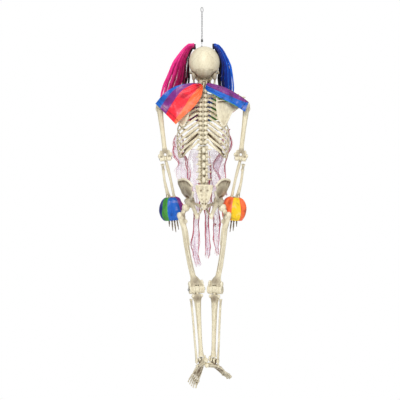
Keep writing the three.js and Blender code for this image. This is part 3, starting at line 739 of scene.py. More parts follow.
class SKELETON_OT_spine(bpy.types.Operator):
    """Makes the neck, the rib cage, the lower spine and the sacrum"""
    bl_idname = "skeleton.spine"
    bl_label = "Spine and ribs"

    top_z = -222
    pitch = 12.2
    back_line = (-18, -21, -25, -28, -31, -33, -34, -34, -33, -31, -28, -26)
    lumbar_top = -377
    lumbar_pitch = 19.6
    lumbar_line = (-24, -20, -17, -17, -21)

    def execute(self, context):
        self.neck()
        self.rib_cage()
        self.lower_spine()
        return {"FINISHED"}

    def neck(self):
        lumps = []
        for i in range(6):
            z = -194 - 3.4 * i
            lumps += bump_pair(TORSO, (6.5 + 0.5 * i, -11 - i, z), (3.6, 3.6, 1.9))
        neck = cast_bone("cervical_spine", "neck_bones", "torso", 0.75 * MM, lumps, rounds=4)
        points, _ = mesh_arrays(neck)
        # Darker gaps between the neck bones: brown wash and painted shade.
        rings = 0.5 + 0.5 * np.cos((points[:, 2] / MM + 194) / 3.4 * 2 * math.pi)
        stain(neck, 0.55 * np.clip(rings * 2 - 1.1, 0, 1))

    def rib_cage(self):
        blocks = []
        for i, y in enumerate(self.back_line):
            z = self.top_z - self.pitch * i
            blocks += bump_pair(TORSO, (6.4, y - 13, z - 1), (6.2, 8.5, 5.7))
            blocks += bump_pair(TORSO, (12.6, y - 9, z + 1.2), (3.6, 4, 3.4))
            blocks.append(lump(TORSO, (0, y - 15, z - 1), (4.4, 6, 5.6)))
        column = cast_bone("thoracic_spine", "thoracic_vertebrae", "torso", 0.8 * MM, blocks, rounds=3)
        points, normals = mesh_arrays(column)
        x = (points[:, 0] - FIGURE_X) / MM
        # Keeps half the brown wash and painted shade near the middle and none farther out.
        soften_wash(column, 0.5 * (np.abs(x) < 18))
        # A darkened groove down the middle of the back: brown wash and painted shade.
        groove = 0.8 * np.clip(1 - np.abs(x) / 1.3, 0, 1) * (normals[:, 1] < 0.35) * (points[:, 1] < -0.030)
        press(column, groove, 1.4 * MM)
        points, _ = mesh_arrays(column)
        # Darker gaps between the vertebrae: brown wash and painted shade.
        height = (points[:, 2] / MM - self.top_z + 1) / self.pitch
        between = np.clip(np.abs(height - np.round(height)) * 2 - 0.7, 0, 1) / 0.3
        stain(column, between * 0.4 * (np.abs(x) < 13) * (points[:, 1] < -0.018))
        for side, s in SIDES.items():
            edge = ridge(TORSO, [(s * 6, 38.5, -240), (s * 4.6, 31, -285), (s * 4.2, 22, -325)], 4, 3.4,
                         2.6)
            cast_bone(f"ribs_{side}", f"rib_bones_{side}", "torso", 0.85 * MM, [edge], rounds=3)

    def lower_spine(self):
        lumps = []
        for i, y in enumerate(self.lumbar_line):
            z = self.lumbar_top - self.lumbar_pitch * i
            lumps += bump_pair(TORSO, (9.5, y - 9, z + 6.5), (4.6, 4.4, 5.6))
            lumps += bump_pair(TORSO, (8.5, y - 10, z - 6), (3.8, 3.6, 4.6))
            lumps.append(lump(TORSO, (2, y - 19, z - 1), (5.2, 6.4, 7.6)))
            lumps.append(lump(TORSO, (2, y + 2, z + 7.6), (12.4, 10.4, 1.8)))
            lumps.append(lump(TORSO, (2, y + 2, z - 7.6), (12.4, 10.4, 1.8)))
        lumbar = cast_bone("lumbar_spine", "lumbar_vertebrae", "torso", 0.9 * MM, lumps, rounds=4)
        # Less brown wash and painted shade overall, and darker gaps between the vertebrae.
        soften_wash(lumbar, 0.55)
        points, _ = mesh_arrays(lumbar)
        height = (points[:, 2] / MM - self.lumbar_top) / self.lumbar_pitch
        gap = np.clip(np.abs(height - np.round(height)) * 2 - 0.7, 0, 1) / 0.3
        stain(lumbar, gap * 0.5)
        crests = [lump(TORSO, (3, -40 - 3 * i, -480 - 12 * i), (2.6, 5.5, 4.6)) for i in range(4)]
        rows = [lump(TORSO, (3 + s * (12.5 - 2.2 * i), -38.5 - 4 * i, -478 - 12 * i), (3.6, 4, 4.4))
                for i in range(4) for s in (-1, 1)]
        sacrum = cast_bone("sacrum", "sacrum_bone", "torso", 0.8 * MM, [*crests, *rows], rounds=4)
        # The sacral holes are pressed in and darkened with brown wash and painted shade.
        for i in range(4):
            for s in (-1, 1):
                place = TORSO @ Vector((3 + s * (8.6 - 1.4 * i), -44 - 3 * i, -484 - 12 * i))
                dent(sacrum, place, 3.6 * MM, 3.2 * MM)


class SKELETON_OT_girdles(bpy.types.Operator):
    """Makes the shoulder blades, collar bones and hip bones"""
    bl_idname = "skeleton.girdles"
    bl_label = "Shoulder and hip girdles"

    def execute(self, context):
        for side, s in SIDES.items():
            self.shoulder(side, s)
            self.hip(side, s)
        return {"FINISHED"}

    def shoulder(self, side, s):
        rims = [ridge(TORSO, [(s * 36, -52.5, -242), (s * 36.5, -52, -272), (s * 42, -50, -298),
                              (s * 53, -46, -315)],
                      1.6, 2, 2, 2.2),
                ridge(TORSO, [(s * 56, -44.5, -315), (s * 66, -40, -298), (s * 76, -36, -278),
                              (s * 92, -29, -266)],
                      2.2, 2.2, 2.4, 3)]
        blade = cast_bone(f"shoulder_blade_{side}", f"shoulder_blade_bone_{side}", "torso", 0.9 * MM, rims)
        points, _ = mesh_arrays(blade)
        # A darker patch of brown wash and painted shade near the shoulder end.
        stain(blade, 0.5 * near(points, TORSO @ Vector((s * 80, -38, -262)), 16 * MM))
        cast_bone(f"collar_bone_{side}", f"collar_bone_cast_{side}", "torso", 0.8 * MM,
                  [lump(TORSO, (s * 13, 38, -232), (4.4, 4.4, 4.6))])

    def hip(self, side, s):
        pelvis = [(3 + s * x, y, z) for x, y, z in
                  ((30, -48, -473), (44, -40, -457.5), (63, -13, -455.5), (67.5, 13, -462), (61, 33, -480))]
        spine = [(3 + s * x, y, z) for x, y, z in ((29, -44, -486), (31, -42, -497), (36, -28, -506))]
        extras = [ridge(TORSO, pelvis, 2.6, 3, 3.4, 3.4, 2.8), ridge(TORSO, spine, 3.4, 3.2, 4),
                  lump(TORSO, (3 + s * 19, -19, -552), (6, 6.5, 8)),
                  lump(TORSO, (3 + s * 44, -3, -512), (9, 12, 8))]
        hip = cast_bone(f"hip_bone_{side}", f"hip_bone_cast_{side}", "torso", 0.95 * MM, extras)
        points, normals = mesh_arrays(hip)
        centre = TORSO @ Vector((3 + s * 46, -22, -492))
        # Painted shade on the back of the wing near its middle, with brown wash.
        behind = np.clip(-normals[:, 1] * 2, 0, 1)
        stain(hip, 0.85 * near(points, centre, 30 * MM) * behind)
        # A wider darker patch of brown wash and painted shade lower on the hip bone.
        stain(hip, 0.45 * near(points, TORSO @ Vector((3 + s * 40, -15, -505)), 48 * MM))


class SKELETON_OT_arms(bpy.types.Operator):
    """Makes the bones of both arms and hands"""
    bl_idname = "skeleton.arms"
    bl_label = "Arms and hands"

    finger_reach = (80, 86, 82, 70)

    def execute(self, context):
        for side, s in SIDES.items():
            frames = arm_frames(side)
            cast_bone(f"shoulder_swivel_{side}", f"shoulder_swivel_cast_{side}", f"shoulder_{side}",
                      0.8 * MM, rounds=2,
                      relief=0)
            self.upper_arm(side, s, frames["arm"])
            self.forearm(side, s, frames["forearm"])
            self.hand(side, s, frames["hand"])
        return {"FINISHED"}

    def upper_arm(self, side, s, where):
        extras = [ridge(where, [(s * 4, 5, -14), (s * 3.5, 6, -40), (s * 3, 4.6, -70)], 3, 2.4, 2.4),
                  lump(where, (s * 15.5, -1, -133), (4, 5, 6)),
                  lump(where, (-s * 15.5, -1, -131), (3.6, 4.6, 5.4)),
                  lump(where, (s * 10.5, -3, -126), (4, 2.6, 9)),
                  lump(where, (-s * 10.5, -3, -126), (3.6, 2.6, 9))]
        humerus = cast_bone(f"humerus_{side}", f"humerus_cast_{side}", f"upper_arm_{side}", 0.9 * MM,
                            extras, rounds=4)
        # Brown wash and painted shade: less overall, more in the hollow above the elbow.
        soften_wash(humerus, 0.6)
        points, _ = mesh_arrays(humerus)
        stain(humerus, 0.7 * near(points, where @ Vector((0, -4, -124)), 13 * MM))

    def forearm(self, side, s, where):
        cast_bone(f"ulna_{side}", f"ulna_cast_{side}", f"forearm_{side}", 0.8 * MM,
                  [lump(where, (-s * 12, 1, -108), (4.6, 4.4, 4.6))], rounds=4)
        radius = cast_bone(f"radius_{side}", f"radius_cast_{side}", f"forearm_{side}", 0.8 * MM,
                           [lump(where, (s * 9, 3, -32), (4.6, 5, 5)),
                            lump(where, (s * 5, -2, -107), (3, 3.4, 6))],
                           rounds=4)
        points, _ = mesh_arrays(radius)
        # Brown wash and painted shade below the head of the radius.
        stain(radius, 0.5 * near(points, where @ Vector((s * 9, 0, -24)), 8 * MM))

    def hand(self, side, s, where):
        lumps = []
        for i, reach in enumerate(self.finger_reach):
            fan = -s * (7.4 - 5.2 * i)
            for t, sink, size in ((0.42, 3, 3.3), (0.66, 3, 2.7), (0.85, 0, 2.2)):
                lumps.append(lump(where, (fan * (0.8 + t * 0.75), -sink, -reach * t),
                                  (size, size, size * 1.15)))
            lumps.append(lump(where, (fan * 0.8, -3.4, -4 - i % 2), (3.2, 2.6, 3.4)))
        lumps += [lump(where, (-s * 9, 7, -22), (3.4, 3.4, 3.4)),
                  lump(where, (-s * 10, 10, -38), (2.8, 2.8, 2.8))]
        hand = cast_bone(f"hand_{side}", f"hand_bones_{side}", f"hand_{side}", 0.72 * MM, lumps, rounds=3,
                         relief=0.1 * MM)
        # Darker towards the fingertips: brown wash and painted shade.
        points, _ = mesh_arrays(hand)
        below = (pivot(f"wrist_{side}").z - points[:, 2]) / MM
        stain(hand, 0.3 + 0.5 * np.clip((below - 25) / 25, 0, 1))


class SKELETON_OT_legs(bpy.types.Operator):
    """Makes the bones of both legs and feet"""
    bl_idname = "skeleton.legs"
    bl_label = "Legs and feet"

    toe_reach = (82, 82, 77, 71, 64)

    def execute(self, context):
        for side, s in SIDES.items():
            frames = leg_frames(side)
            cast_bone(f"hip_swivel_{side}", f"hip_swivel_cast_{side}", f"hip_{side}", 0.8 * MM, rounds=2,
                      relief=0)
            self.thigh(side, s, frames["thigh"])
            self.shin(side, s, frames["shin"])
            self.foot(side, s, frames["foot"])
        return {"FINISHED"}

    def thigh(self, side, s, where):
        extras = [ridge(where, [(s * 19, -6, -30), (s * 14, -7, -50), (s * 10.5, -6, -110),
                                (s * 6, -6.4, -170)],
                        3, 1.8, 1.8, 1.6),
                  ridge(where, [(s * 19, -3, -22), (s * 15, -2, -38), (s * 10, -1, -62), (s * 7, 0, -100)],
                        7.5, 8, 7, 5),
                  lump(where, (s * 20, -4, -18), (7.6, 8, 9)), lump(where, (s * 15, -9, -24), (4.6, 4, 6)),
                  lump(where, (17, 0, -203), (4, 8, 8)), lump(where, (-17, 0, -203), (4, 8, 8))]
        femur = cast_bone(f"femur_{side}", f"femur_cast_{side}", f"thigh_{side}", 1.0 * MM, extras,
                          rounds=4)
        # Brown wash and painted shade: less overall, more in the hollows near the hip and between the
        # knuckles at the knee.
        soften_wash(femur, 0.4)
        points, _ = mesh_arrays(femur)
        for centre, reach, depth in (((s * 11, -7, -20), 9, 0.75), ((0, -9, -196), 16, 0.7),
                                     ((s * 11, -6, -34), 9, 0.4)):
            stain(femur, depth * near(points, where @ Vector(centre), reach * MM))
        cast_bone(f"kneecap_{side}", f"kneecap_cast_{side}", f"thigh_{side}", 0.7 * MM,
                  [lump(where, (0, 17.4, -211), (7, 3.6, 7))])

    def shin(self, side, s, where):
        extras = [ridge(where, [(0, 8, -22), (-s, 9.6, -45), (-s, 9, -100), (-s, 7, -150)], 3, 1.8, 1.6,
                        1.4),
                  lump(where, (-s * 11, -1, -184), (3.4, 5, 8)), lump(where, (11, -4, -18), (5, 5, 5)),
                  lump(where, (-11, -4, -18), (5, 5, 5))]
        tibia = cast_bone(f"tibia_{side}", f"tibia_cast_{side}", f"shin_{side}", 0.9 * MM, extras, rounds=4)
        # Brown wash and painted shade: less overall, more at the back below the knee.
        soften_wash(tibia, 0.6)
        points, _ = mesh_arrays(tibia)
        stain(tibia, 0.8 * near(points, where @ Vector((0, -8, -24)), 13 * MM))
        fibula = cast_bone(f"fibula_{side}", f"fibula_cast_{side}", f"shin_{side}", 0.75 * MM,
                           [lump(where, (s * 12.4, -1, -190), (4, 5, 8))], rounds=4)
        points, _ = mesh_arrays(fibula)
        # Brown wash and painted shade near the top of the fibula.
        stain(fibula, 0.4 * near(points, where @ Vector((s * 18, -6, -34)), 12 * MM))

    def foot(self, side, s, where):
        extras = [lump(where, (0, -20, -20), (6.4, 6, 7)), lump(where, (s * 7, 14, -10), (5, 5, 5)),
                  lump(where, (-s * 7, 16, -9), (5, 6, 5)), lump(where, (0, 20, -8.5), (5, 5, 4.4)),
                  lump(where, (s * 5, 27, -9.6), (3.6, 4.4, 3.6)),
                  lump(where, (-s * 5, 27, -9.6), (3.6, 4.4, 3.6))]
        for i, reach in enumerate(self.toe_reach):
            fan = -s * (11 - 5.4 * i)
            for along, sink, size in ((reach - 22, -18, 3.4), (reach - 10, -18, 2.6),
                                      (reach - 1, -21, 2.2)):
                spread = fan * (1.2 + 0.02 * (along - reach + 22) / 2)
                wide = size * (1.35 if i == 0 else 1)
                extras.append(lump(where, (spread, along, sink), (wide, size * 1.1, size)))
        foot = cast_bone(f"foot_{side}", f"foot_bones_{side}", f"foot_{side}", 0.8 * MM, extras, rounds=3,
                         relief=0.15 * MM)
        points, _ = mesh_arrays(foot)
        # Darker under the sole: brown wash and painted shade.
        sole = np.array(where @ Vector((0, 45, -24)))
        stain(foot, 0.35 * near(points, sole, 40 * MM))


# ---- hardware ------------------------------------------------------------------------------

def turned_part(profile, origin, direction, name, steps=32):
    """A lathe-turned part: profile is (radius, height) in millimetres about a direction."""
    mesh = bpy.data.meshes.new(name)
    mesh.from_pydata([(radius * MM, 0, height * MM) for radius, height in profile],
                     [(i, i + 1) for i in range(len(profile) - 1)], [])
    piece = bpy.data.objects.new(name, mesh)
    bpy.context.collection.objects.link(piece)
    apply_modifier(piece, "SCREW", angle=2 * math.pi, steps=steps, render_steps=steps,
                   use_merge_vertices=True,
                   merge_threshold=1e-6)
    piece.matrix_world = Matrix.Translation(origin) @ Vector(direction).to_track_quat("Z",
        "Y").to_matrix().to_4x4()
    rest_in_place(piece)
    tidy_faces(piece)
    apply_modifier(piece, "BEVEL", width=0.25 * MM, segments=2, limit_method="ANGLE")
    return piece


def plain_settle(piece, body, slot, look, *nodes):
    piece.data.materials.clear()
    piece.data.materials.append(look)
    only(piece)
    bpy.ops.object.shade_smooth_by_angle(angle=math.radians(40))
    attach(piece, body)
    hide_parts(*nodes)
    return piece


class SKELETON_OT_hardware(bpy.types.Operator):
    """Makes the twisted wire hanger, its swivel and every pin and screw"""
    bl_idname = "skeleton.hardware"
    bl_label = "Hanger, swivel and pins"

    eye_radius = 6
    eye_turn = 60
    strand = 0.95
    twist_pitch = 9
    head_style = ((0, 0), (0.62, 0), (0.94, 0.12), (1, 0.35), (1, 0.8), (0.9, 1))

    def execute(self, context):
        self.hanger()
        low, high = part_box("swivel_sleeve")
        height = (high.z - low.z) / MM
        sleeve = turned_part([(0, 0), (1.9, 0), (2.7, 0.7), (2.7, 2.4), (2.2, 2.8), (2.2, height - 2.8),
                              (2.7, height - 2.4),
                              (2.7, height - 0.7), (1.9, height), (0, height)],
                             Vector((0, 0, low.z)), UP, "swivel_sleeve_turned")
        plain_settle(sleeve, "hanger", "sleeve", material(steel_finish, "blackened_steel", 0.06, 0.38, 0.3),
                     "swivel_sleeve")
        low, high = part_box("crown_pin")
        length = (high.z - low.z) / MM
        washer = length - 10
        pin = turned_part([(0, 0), (0.8, 0), (1.2, 0.5), (1.2, 4.6), (4.2, 4.9), (4.6, 5.3), (4.4, 6.1),
                           (2.4, 6.6), (1.9, 7.6),
                           (1.2, 8.4), (1.2, washer + 8), (0.9, length), (0, length)],
                          Vector((0, 0, low.z)), UP, "crown_pin_turned")
        plain_settle(pin, "head", "screw", zinc(), "crown_pin")
        for side in SIDES:
            self.side_pins(side)
        self.screw_head("jaw_pin", (1, 0, 0), (2.7, 1.3), "head")
        return {"FINISHED"}

    def hanger(self):
        """One wire: up a twist, round the eye and back down the twist."""
        low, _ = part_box("hanger_wire")
        centre = Vector((0, 0, (1.3 - self.eye_radius) * MM))
        across = Matrix.Rotation(math.radians(self.eye_turn), 4, "Z") @ Vector((1, 0, 0))
        top = centre.z - self.eye_radius * MM - 1.4 * MM
        steps = 40
        rising, falling = [], []
        for i in range(steps + 1):
            height = low.z + (top - low.z) * i / steps
            angle = 2 * math.pi * (height - top) / (self.twist_pitch * MM) + math.radians(self.eye_turn)
            offset = Vector((math.cos(angle), math.sin(angle), 0)) * self.strand * 0.92 * MM
            rising.append(Vector((0, 0, height)) + offset)
            falling.insert(0, Vector((0, 0, height)) - offset)
        loop = []
        for i in range(1, 16):
            angle = math.radians(-90 + 360 * i / 16)
            loop.append(centre + (across * math.cos(angle) + UP * math.sin(angle)) * self.eye_radius * MM)
        points = rising + loop + falling
        wire = tube(points, [self.strand * MM] * len(points), "twisted_hanger", sides=4)
        plain_settle(wire, "hanger", "wire", material(steel_finish, "bright_wire", 0.62, 0.26, 0.15),
                     "hanger_wire")

    def screw_head(self, node, axis, radius, body):
        """A pin with a domed head at each end, as long as its CAD solid."""
        low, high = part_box(node)
        middle = (low + high) / 2
        direction = Vector(axis)
        half = max(abs((high - low).dot(direction)), 1e-4) / 2 / MM
        rim, neck = radius
        profile = [(0, -half), (rim * 0.6, -half), (rim, 0.9 - half), (rim, 1.7 - half), (neck, 1.8 - half),
                   (neck, half - 1.8), (rim, half - 1.7), (rim, half - 0.9), (rim * 0.6, half), (0, half)]
        piece = turned_part(profile, middle, direction, f"{node}_turned")
        plain_settle(piece, body, "screw", zinc(), node)

    def side_pins(self, side):
        arm = arm_frames(side)["arm"].to_quaternion() @ Vector((1, 0, 0))
        thigh = leg_frames(side)["shin"].to_quaternion() @ Vector((1, 0, 0))
        self.screw_head(f"elbow_pin_{side}", arm, (3.3, 2.0), f"upper_arm_{side}")
        self.screw_head(f"knee_pin_{side}", thigh, (3.9, 2.5), f"thigh_{side}")
        knuckle = frame["nodes"][f"ankle_knuckle_{side}"].data.materials
        knuckle.clear()
        knuckle.append(zinc())


# ---- hair ----------------------------------------------------------------------------------

class Path:
    """A smooth line through points with a half-width across and a half-depth at each of them."""

    def __init__(self, points, widths):
        self.points = [Vector(point) for point in points]
        self.widths = widths

    def _slot(self, t, count):
        place = min(max(t, 0), 1) * (count - 1)
        slot = min(int(place), count - 2)
        return slot, place - slot

    def at(self, t):
        slot, part = self._slot(t, len(self.points))
        before = self.points[max(slot - 1, 0)]
        start, end = self.points[slot], self.points[slot + 1]
        after = self.points[min(slot + 2, len(self.points) - 1)]
        pull_in, pull_out = (end - before) * 0.5, (after - start) * 0.5
        square, cube = part * part, part ** 3
        return (start * (2 * cube - 3 * square + 1) + pull_in * (cube - 2 * square + part)
                + end * (3 * square - 2 * cube) + pull_out * (cube - square))

    def width(self, t):
        slot, part = self._slot(t, len(self.widths))
        return [a + (b - a) * part for a, b in zip(self.widths[slot], self.widths[slot + 1])]

    def side(self, t):
        along = (self.at(min(t + 0.01, 1)) - self.at(max(t - 0.01, 0))).normalized()
        return Vector((0, 1, 0)).cross(along).normalized()


PIGTAILS = {
    "left": Path([(-21, 3, -103), (-31, 5, -101), (-42, 8, -112), (-51, 8, -130), (-60, 12, -154),
                  (-66, 24, -183),
                  (-76, 40, -212), (-82, 45, -241), (-84, 46, -262)],
                 [(4, 4), (7, 6), (10, 7), (14, 8), (21, 8), (28, 7), (30, 6), (30, 5), (18, 3)]),
    "right": Path([(27, 3, -102), (35, 5, -102), (45, 8, -114), (53, 8, -132), (59, 12, -154),
                   (59, 24, -182),
                   (62, 40, -210), (61, 45, -232), (60, 46, -252)],
                  [(4, 4), (6, 6), (8, 7), (9, 8), (13, 8), (18, 7), (17, 6), (16, 5), (10, 3)]),
}


def strand_mesh(name, strands, sides=3):
    """One mesh of many thin tapered strands. Each strand is (points, radius, tone)."""
    verts, faces, tones, along = [], [], [], []
    for points, radius, tone in strands:
        base = len(verts)
        last = len(points) - 1
        for i, point in enumerate(points):
            ahead = points[min(i + 1, last)] - points[max(i - 1, 0)]
            side = ahead.cross(Vector((0.3, 1, 0.1))).normalized()
            rise = ahead.cross(side).normalized()
            size = radius * (0.35 + 0.65 * math.sin(math.pi * min(0.5, 0.12 + (1 - i / last) * 1.5)))
            for k in range(sides):
                turn = 2 * math.pi * k / sides
                verts.append(point + (side * math.cos(turn) + rise * math.sin(turn)) * size)
                tones.append(tone)
                along.append(i / last)
        for i in range(last):
            for k in range(sides):
                a, b = base + i * sides + k, base + i * sides + (k + 1) % sides
                faces.append((a, b, b + sides, a + sides))
        faces.append(tuple(base + k for k in reversed(range(sides))))
        faces.append(tuple(base + last * sides + k for k in range(sides)))
    mesh = bpy.data.meshes.new(name)
    mesh.from_pydata(verts, [], faces)
    for label, values in (("tone", tones), ("along", along)):
        mesh.attributes.new(label, "FLOAT", "POINT").data.foreach_set("value", values)
    piece = bpy.data.objects.new(name, mesh)
    bpy.context.collection.objects.link(piece)
    only(piece)
    bpy.ops.object.mode_set(mode="EDIT")
    bpy.ops.mesh.select_all(action="SELECT")
    bpy.ops.mesh.normals_make_consistent(inside=False)
    bpy.ops.object.mode_set(mode="OBJECT")
    return piece


def hair_finish(name, dark, middle, bright):
    shader = Shader(name)
    where = shader.place()
    tone = shader.attribute("tone")
    along = shader.attribute("along")
    streak = shader.noise(where, 90, 2)
    # The tone attribute holds painted shade next to the head and painted light outside, plus random
    # streaks.
    colour = shader.ramp((tone + (streak - 0.5) * 0.3).clamped(),
                         [(0.16, dark), (0.36, middle), (0.66, middle), (0.97, bright)])
    rough = streak * 0.15 + 0.26 + along * 0.06
    return shader.finish(base_color=colour, roughness=rough, specular_ior_level=0.5)


class SKELETON_OT_hair(bpy.types.Operator):
    """Makes both bunches of hair and their bands"""
    bl_idname = "skeleton.hair"
    bl_label = "Hair"

    # The dark colours are painted shade inside each bunch, the bright ones painted light on its outside.
    looks = {
        "left": ("hair_pink", rgb(10, 3, 8), rgb(186, 2, 96), rgb(255, 60, 160)),
        "right": ("hair_blue", rgb(2, 5, 34), rgb(2, 44, 150), rgb(20, 110, 235)),
    }

    def execute(self, context):
        look = settings("hair")
        for side, s in SIDES.items():
            path = PIGTAILS[side]
            rng = random.Random(11 + s)
            strands = [self.strand(path, rng, s, look.thickness) for _ in range(look.strands)]
            hair = strand_mesh(f"hair_bunch_{side}", strands)
            slot_name, *colours = self.looks[side]
            hair.data.materials.append(material(hair_finish, f"{slot_name}_fibre", *colours))
            smooth_shaded(hair)
            TORSO @ Vector((s * 60, 20, -150))
            TORSO @ Vector((s * 60, 20, -215))
            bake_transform(hair)
            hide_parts(f"pigtail_{side}")
            self.band(side)
        return {"FINISHED"}

    def strand(self, path, rng, s, thickness):
        angle = rng.uniform(0, 2 * math.pi)
        reach = math.sqrt(rng.random())
        a, b = reach * math.cos(angle), reach * math.sin(angle)
        stop = min(1.0, rng.gauss(0.95, 0.05))
        clump = math.floor((a + 1) * 7)
        phase = clump * 1.9
        points = []
        for i in range(13):
            t = stop * i / 12
            across, deep = path.width(t)
            across = across + 2.5
            drift = 0.04 * math.sin(t * 7 + phase) + 0.02 * math.sin(t * 17 + angle * 3)
            pull = 1 - 0.06 * math.cos(clump * 2.4 + t * 4)
            offset = path.side(t) * (a * pull + drift) * across * MM
            offset += Vector((0, 1, 0)) * b * deep * MM
            points.append(TORSO @ path.at(t) + offset)
        outward = a * s * math.copysign(1, path.side(0.6).x)
        return points, thickness * rng.uniform(0.7, 1.3), self.tone(outward, clump, rng)

    def tone(self, outward, clump, rng):
        """Dark as painted shade next to the head and bright as painted light on the outside, with a few odd
        strands.
        """
        base = 0.46 + 0.62 * outward
        if rng.random() < 0.10:
            base += rng.uniform(-0.5, 0.35)
        return min(max(base + 0.2 * math.sin(clump * 2.1) + rng.gauss(0, 0.1), 0), 1)

    def band(self, side):
        """A hair elastic: three turns of a ribbed cord."""
        low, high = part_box(f"hair_tie_{side}")
        centre = (low + high) / 2
        radius = (high.z - low.z) / 2 - 1.7 * MM
        turns, steps = 3, 16
        points = []
        for i in range(turns * steps + 1):
            angle = 2 * math.pi * i / steps
            wobble = 0.25 * MM * math.sin(angle * 5)
            points.append(centre + Vector(((i / (turns * steps) - 0.5) * 2.4 * MM,
                                           (radius + wobble) * math.cos(angle),
                                           (radius + wobble) * math.sin(angle))))
        band = tube(points, [1.0 * MM] * len(points), f"hair_band_{side}", sides=3)
        plain_settle(band, "head", "hair_band", material(elastic_finish), f"hair_tie_{side}")


def elastic_finish():
    shader = Shader("hair_elastic")
    where = shader.place()
    ribs = shader.noise(where, 1400, 2)
    colour = shader.mix(ribs, rgb(16, 14, 20), rgb(48, 42, 52))
    return shader.finish(base_color=colour, roughness=(ribs * 0.2 + 0.7),
                         normal=shader.bump(ribs, 0.5, 0.0004))


# ---- cloth ---------------------------------------------------------------------------------

SATIN = {
    "blue": rgb(0, 96, 196), "purple": rgb(124, 36, 130), "red": rgb(240, 26, 50),
    "orange": rgb(250, 108, 52),
    "green": rgb(62, 148, 48), "yellow": rgb(246, 204, 8), "navy": rgb(4, 40, 130), "plum": rgb(92, 8, 70),
}


def cloth_grid(name, columns, rows, surface, wrap=False):
    """A sheet over a surface given by u across and v down, with its UV map laid flat."""
    verts = [surface(i / columns, j / rows) for j in range(rows + 1) for i in range(columns + 1 - wrap)]
    count = columns + 1 - wrap
    faces, corners = [], []
    for j in range(rows):
        for i in range(columns):
            right = (i + 1) % count
            faces.append((j * count + i, (j + 1) * count + i, (j + 1) * count + right, j * count + right))
            u, v = (i / columns, (i + 1) / columns), (j / rows, (j + 1) / rows)
            corners += [(u[0], v[0]), (u[0], v[1]), (u[1], v[1]), (u[1], v[0])]
    mesh = bpy.data.meshes.new(name)
    mesh.from_pydata(verts, [], faces)
    layer = mesh.uv_layers.new(name="weave")
    layer.data.foreach_set("uv", [part for corner in corners for part in corner])
    piece = bpy.data.objects.new(name, mesh)
    bpy.context.collection.objects.link(piece)
    return piece


def thicken(piece, thickness):
    apply_modifier(piece, "SOLIDIFY", thickness=thickness, offset=0)


def satin_finish(name, bands, hem_threads=True):
    """Woven satin: bands(shader, u, v) gives the printed colours over the cloth's own map."""
    look = settings("satin")
    shader = Shader(name)
    uv = shader.add("ShaderNodeUVMap", {"uv_map": "weave"})["UV"]
    parts = shader.add("ShaderNodeSeparateXYZ", {}, {"Vector": uv})
    u, v = parts["X"], parts["Y"]
    where = shader.place()
    colour = bands(shader, u, v)
    crease = shader.noise(where, 48, 3, 0.5)
    fine = shader.noise(where, 900, 2)
    # Painted sheen on the crests of the folds.
    colour = shader.mix((crease - 0.54).between(0, 0.25) * 0.3, colour, rgb(255, 225, 240))
    # Painted shade in the hollows of the folds.
    colour = shader.mix((0.48 - crease).between(0, 0.2) * 0.5, colour, rgb(24, 4, 44))
    height = crease * 0.75 + fine * 0.05
    if hem_threads:
        hem = 1 - (u - 0.915).size().between(0.004, 0.007)
        stitch = (v * 330).wave().between(-0.1, 0.3) * hem
        colour = shader.mix(stitch * 0.4, colour, rgb(40, 20, 60))
        height = height - hem * 0.35 - stitch * 0.2
    return shader.finish(base_color=colour, roughness=(crease * 0.25 + (1 - look.gloss) * 0.9),
                         normal=shader.bump(height, 0.9, 0.004))


def edge_from(u, start, reach):
    """The place of a stripe's edge, which leaves the top hem at start and drops to reach at the end."""
    return ((u - start) * (1 / (1 - start))).clamped() ** 0.8 * reach


def left_bands(shader, u, v):
    colour = shader.mix(v.above(edge_from(u, 0.34, 0.235)), SATIN["blue"], SATIN["purple"])
    colour = shader.mix(v.above(edge_from(u, 0.09, 0.52)), colour, SATIN["red"])
    return shader.mix(v.above(edge_from(u, -0.6, 0.91)), colour, SATIN["orange"])


def right_bands(shader, u, v):
    line = (u * math.pi).wave().clamped() ** 0.7 * 0.46 + (1 - u) * 0.08
    colour = shader.mix(v.above(line), SATIN["purple"], SATIN["blue"])
    colour = shader.mix(v.above(0.955) * u.above(0.15) * (1 - u.above(0.86)), colour, SATIN["green"])
    return shader.mix((1 - v.above(0.05)) * u.above(0.55), colour, SATIN["plum"])


def front_bands(shader, u, v):
    slant = u + (v - 0.5) * 0.06
    return shader.ramp(slant, [(0.0, SATIN["orange"]), (0.09, SATIN["red"]), (0.345, SATIN["purple"]),
                               (0.47, SATIN["plum"]), (0.53, SATIN["blue"]), (0.622, SATIN["green"]),
                               (0.72, SATIN["yellow"]), (0.80, SATIN["orange"]), (0.90, SATIN["red"])],
                               "CONSTANT")


def cuff_bands(stripes):
    def bands(shader, u, v):
        return shader.ramp(u, [(start, SATIN[name]) for start, name in stripes], "CONSTANT")
    return bands


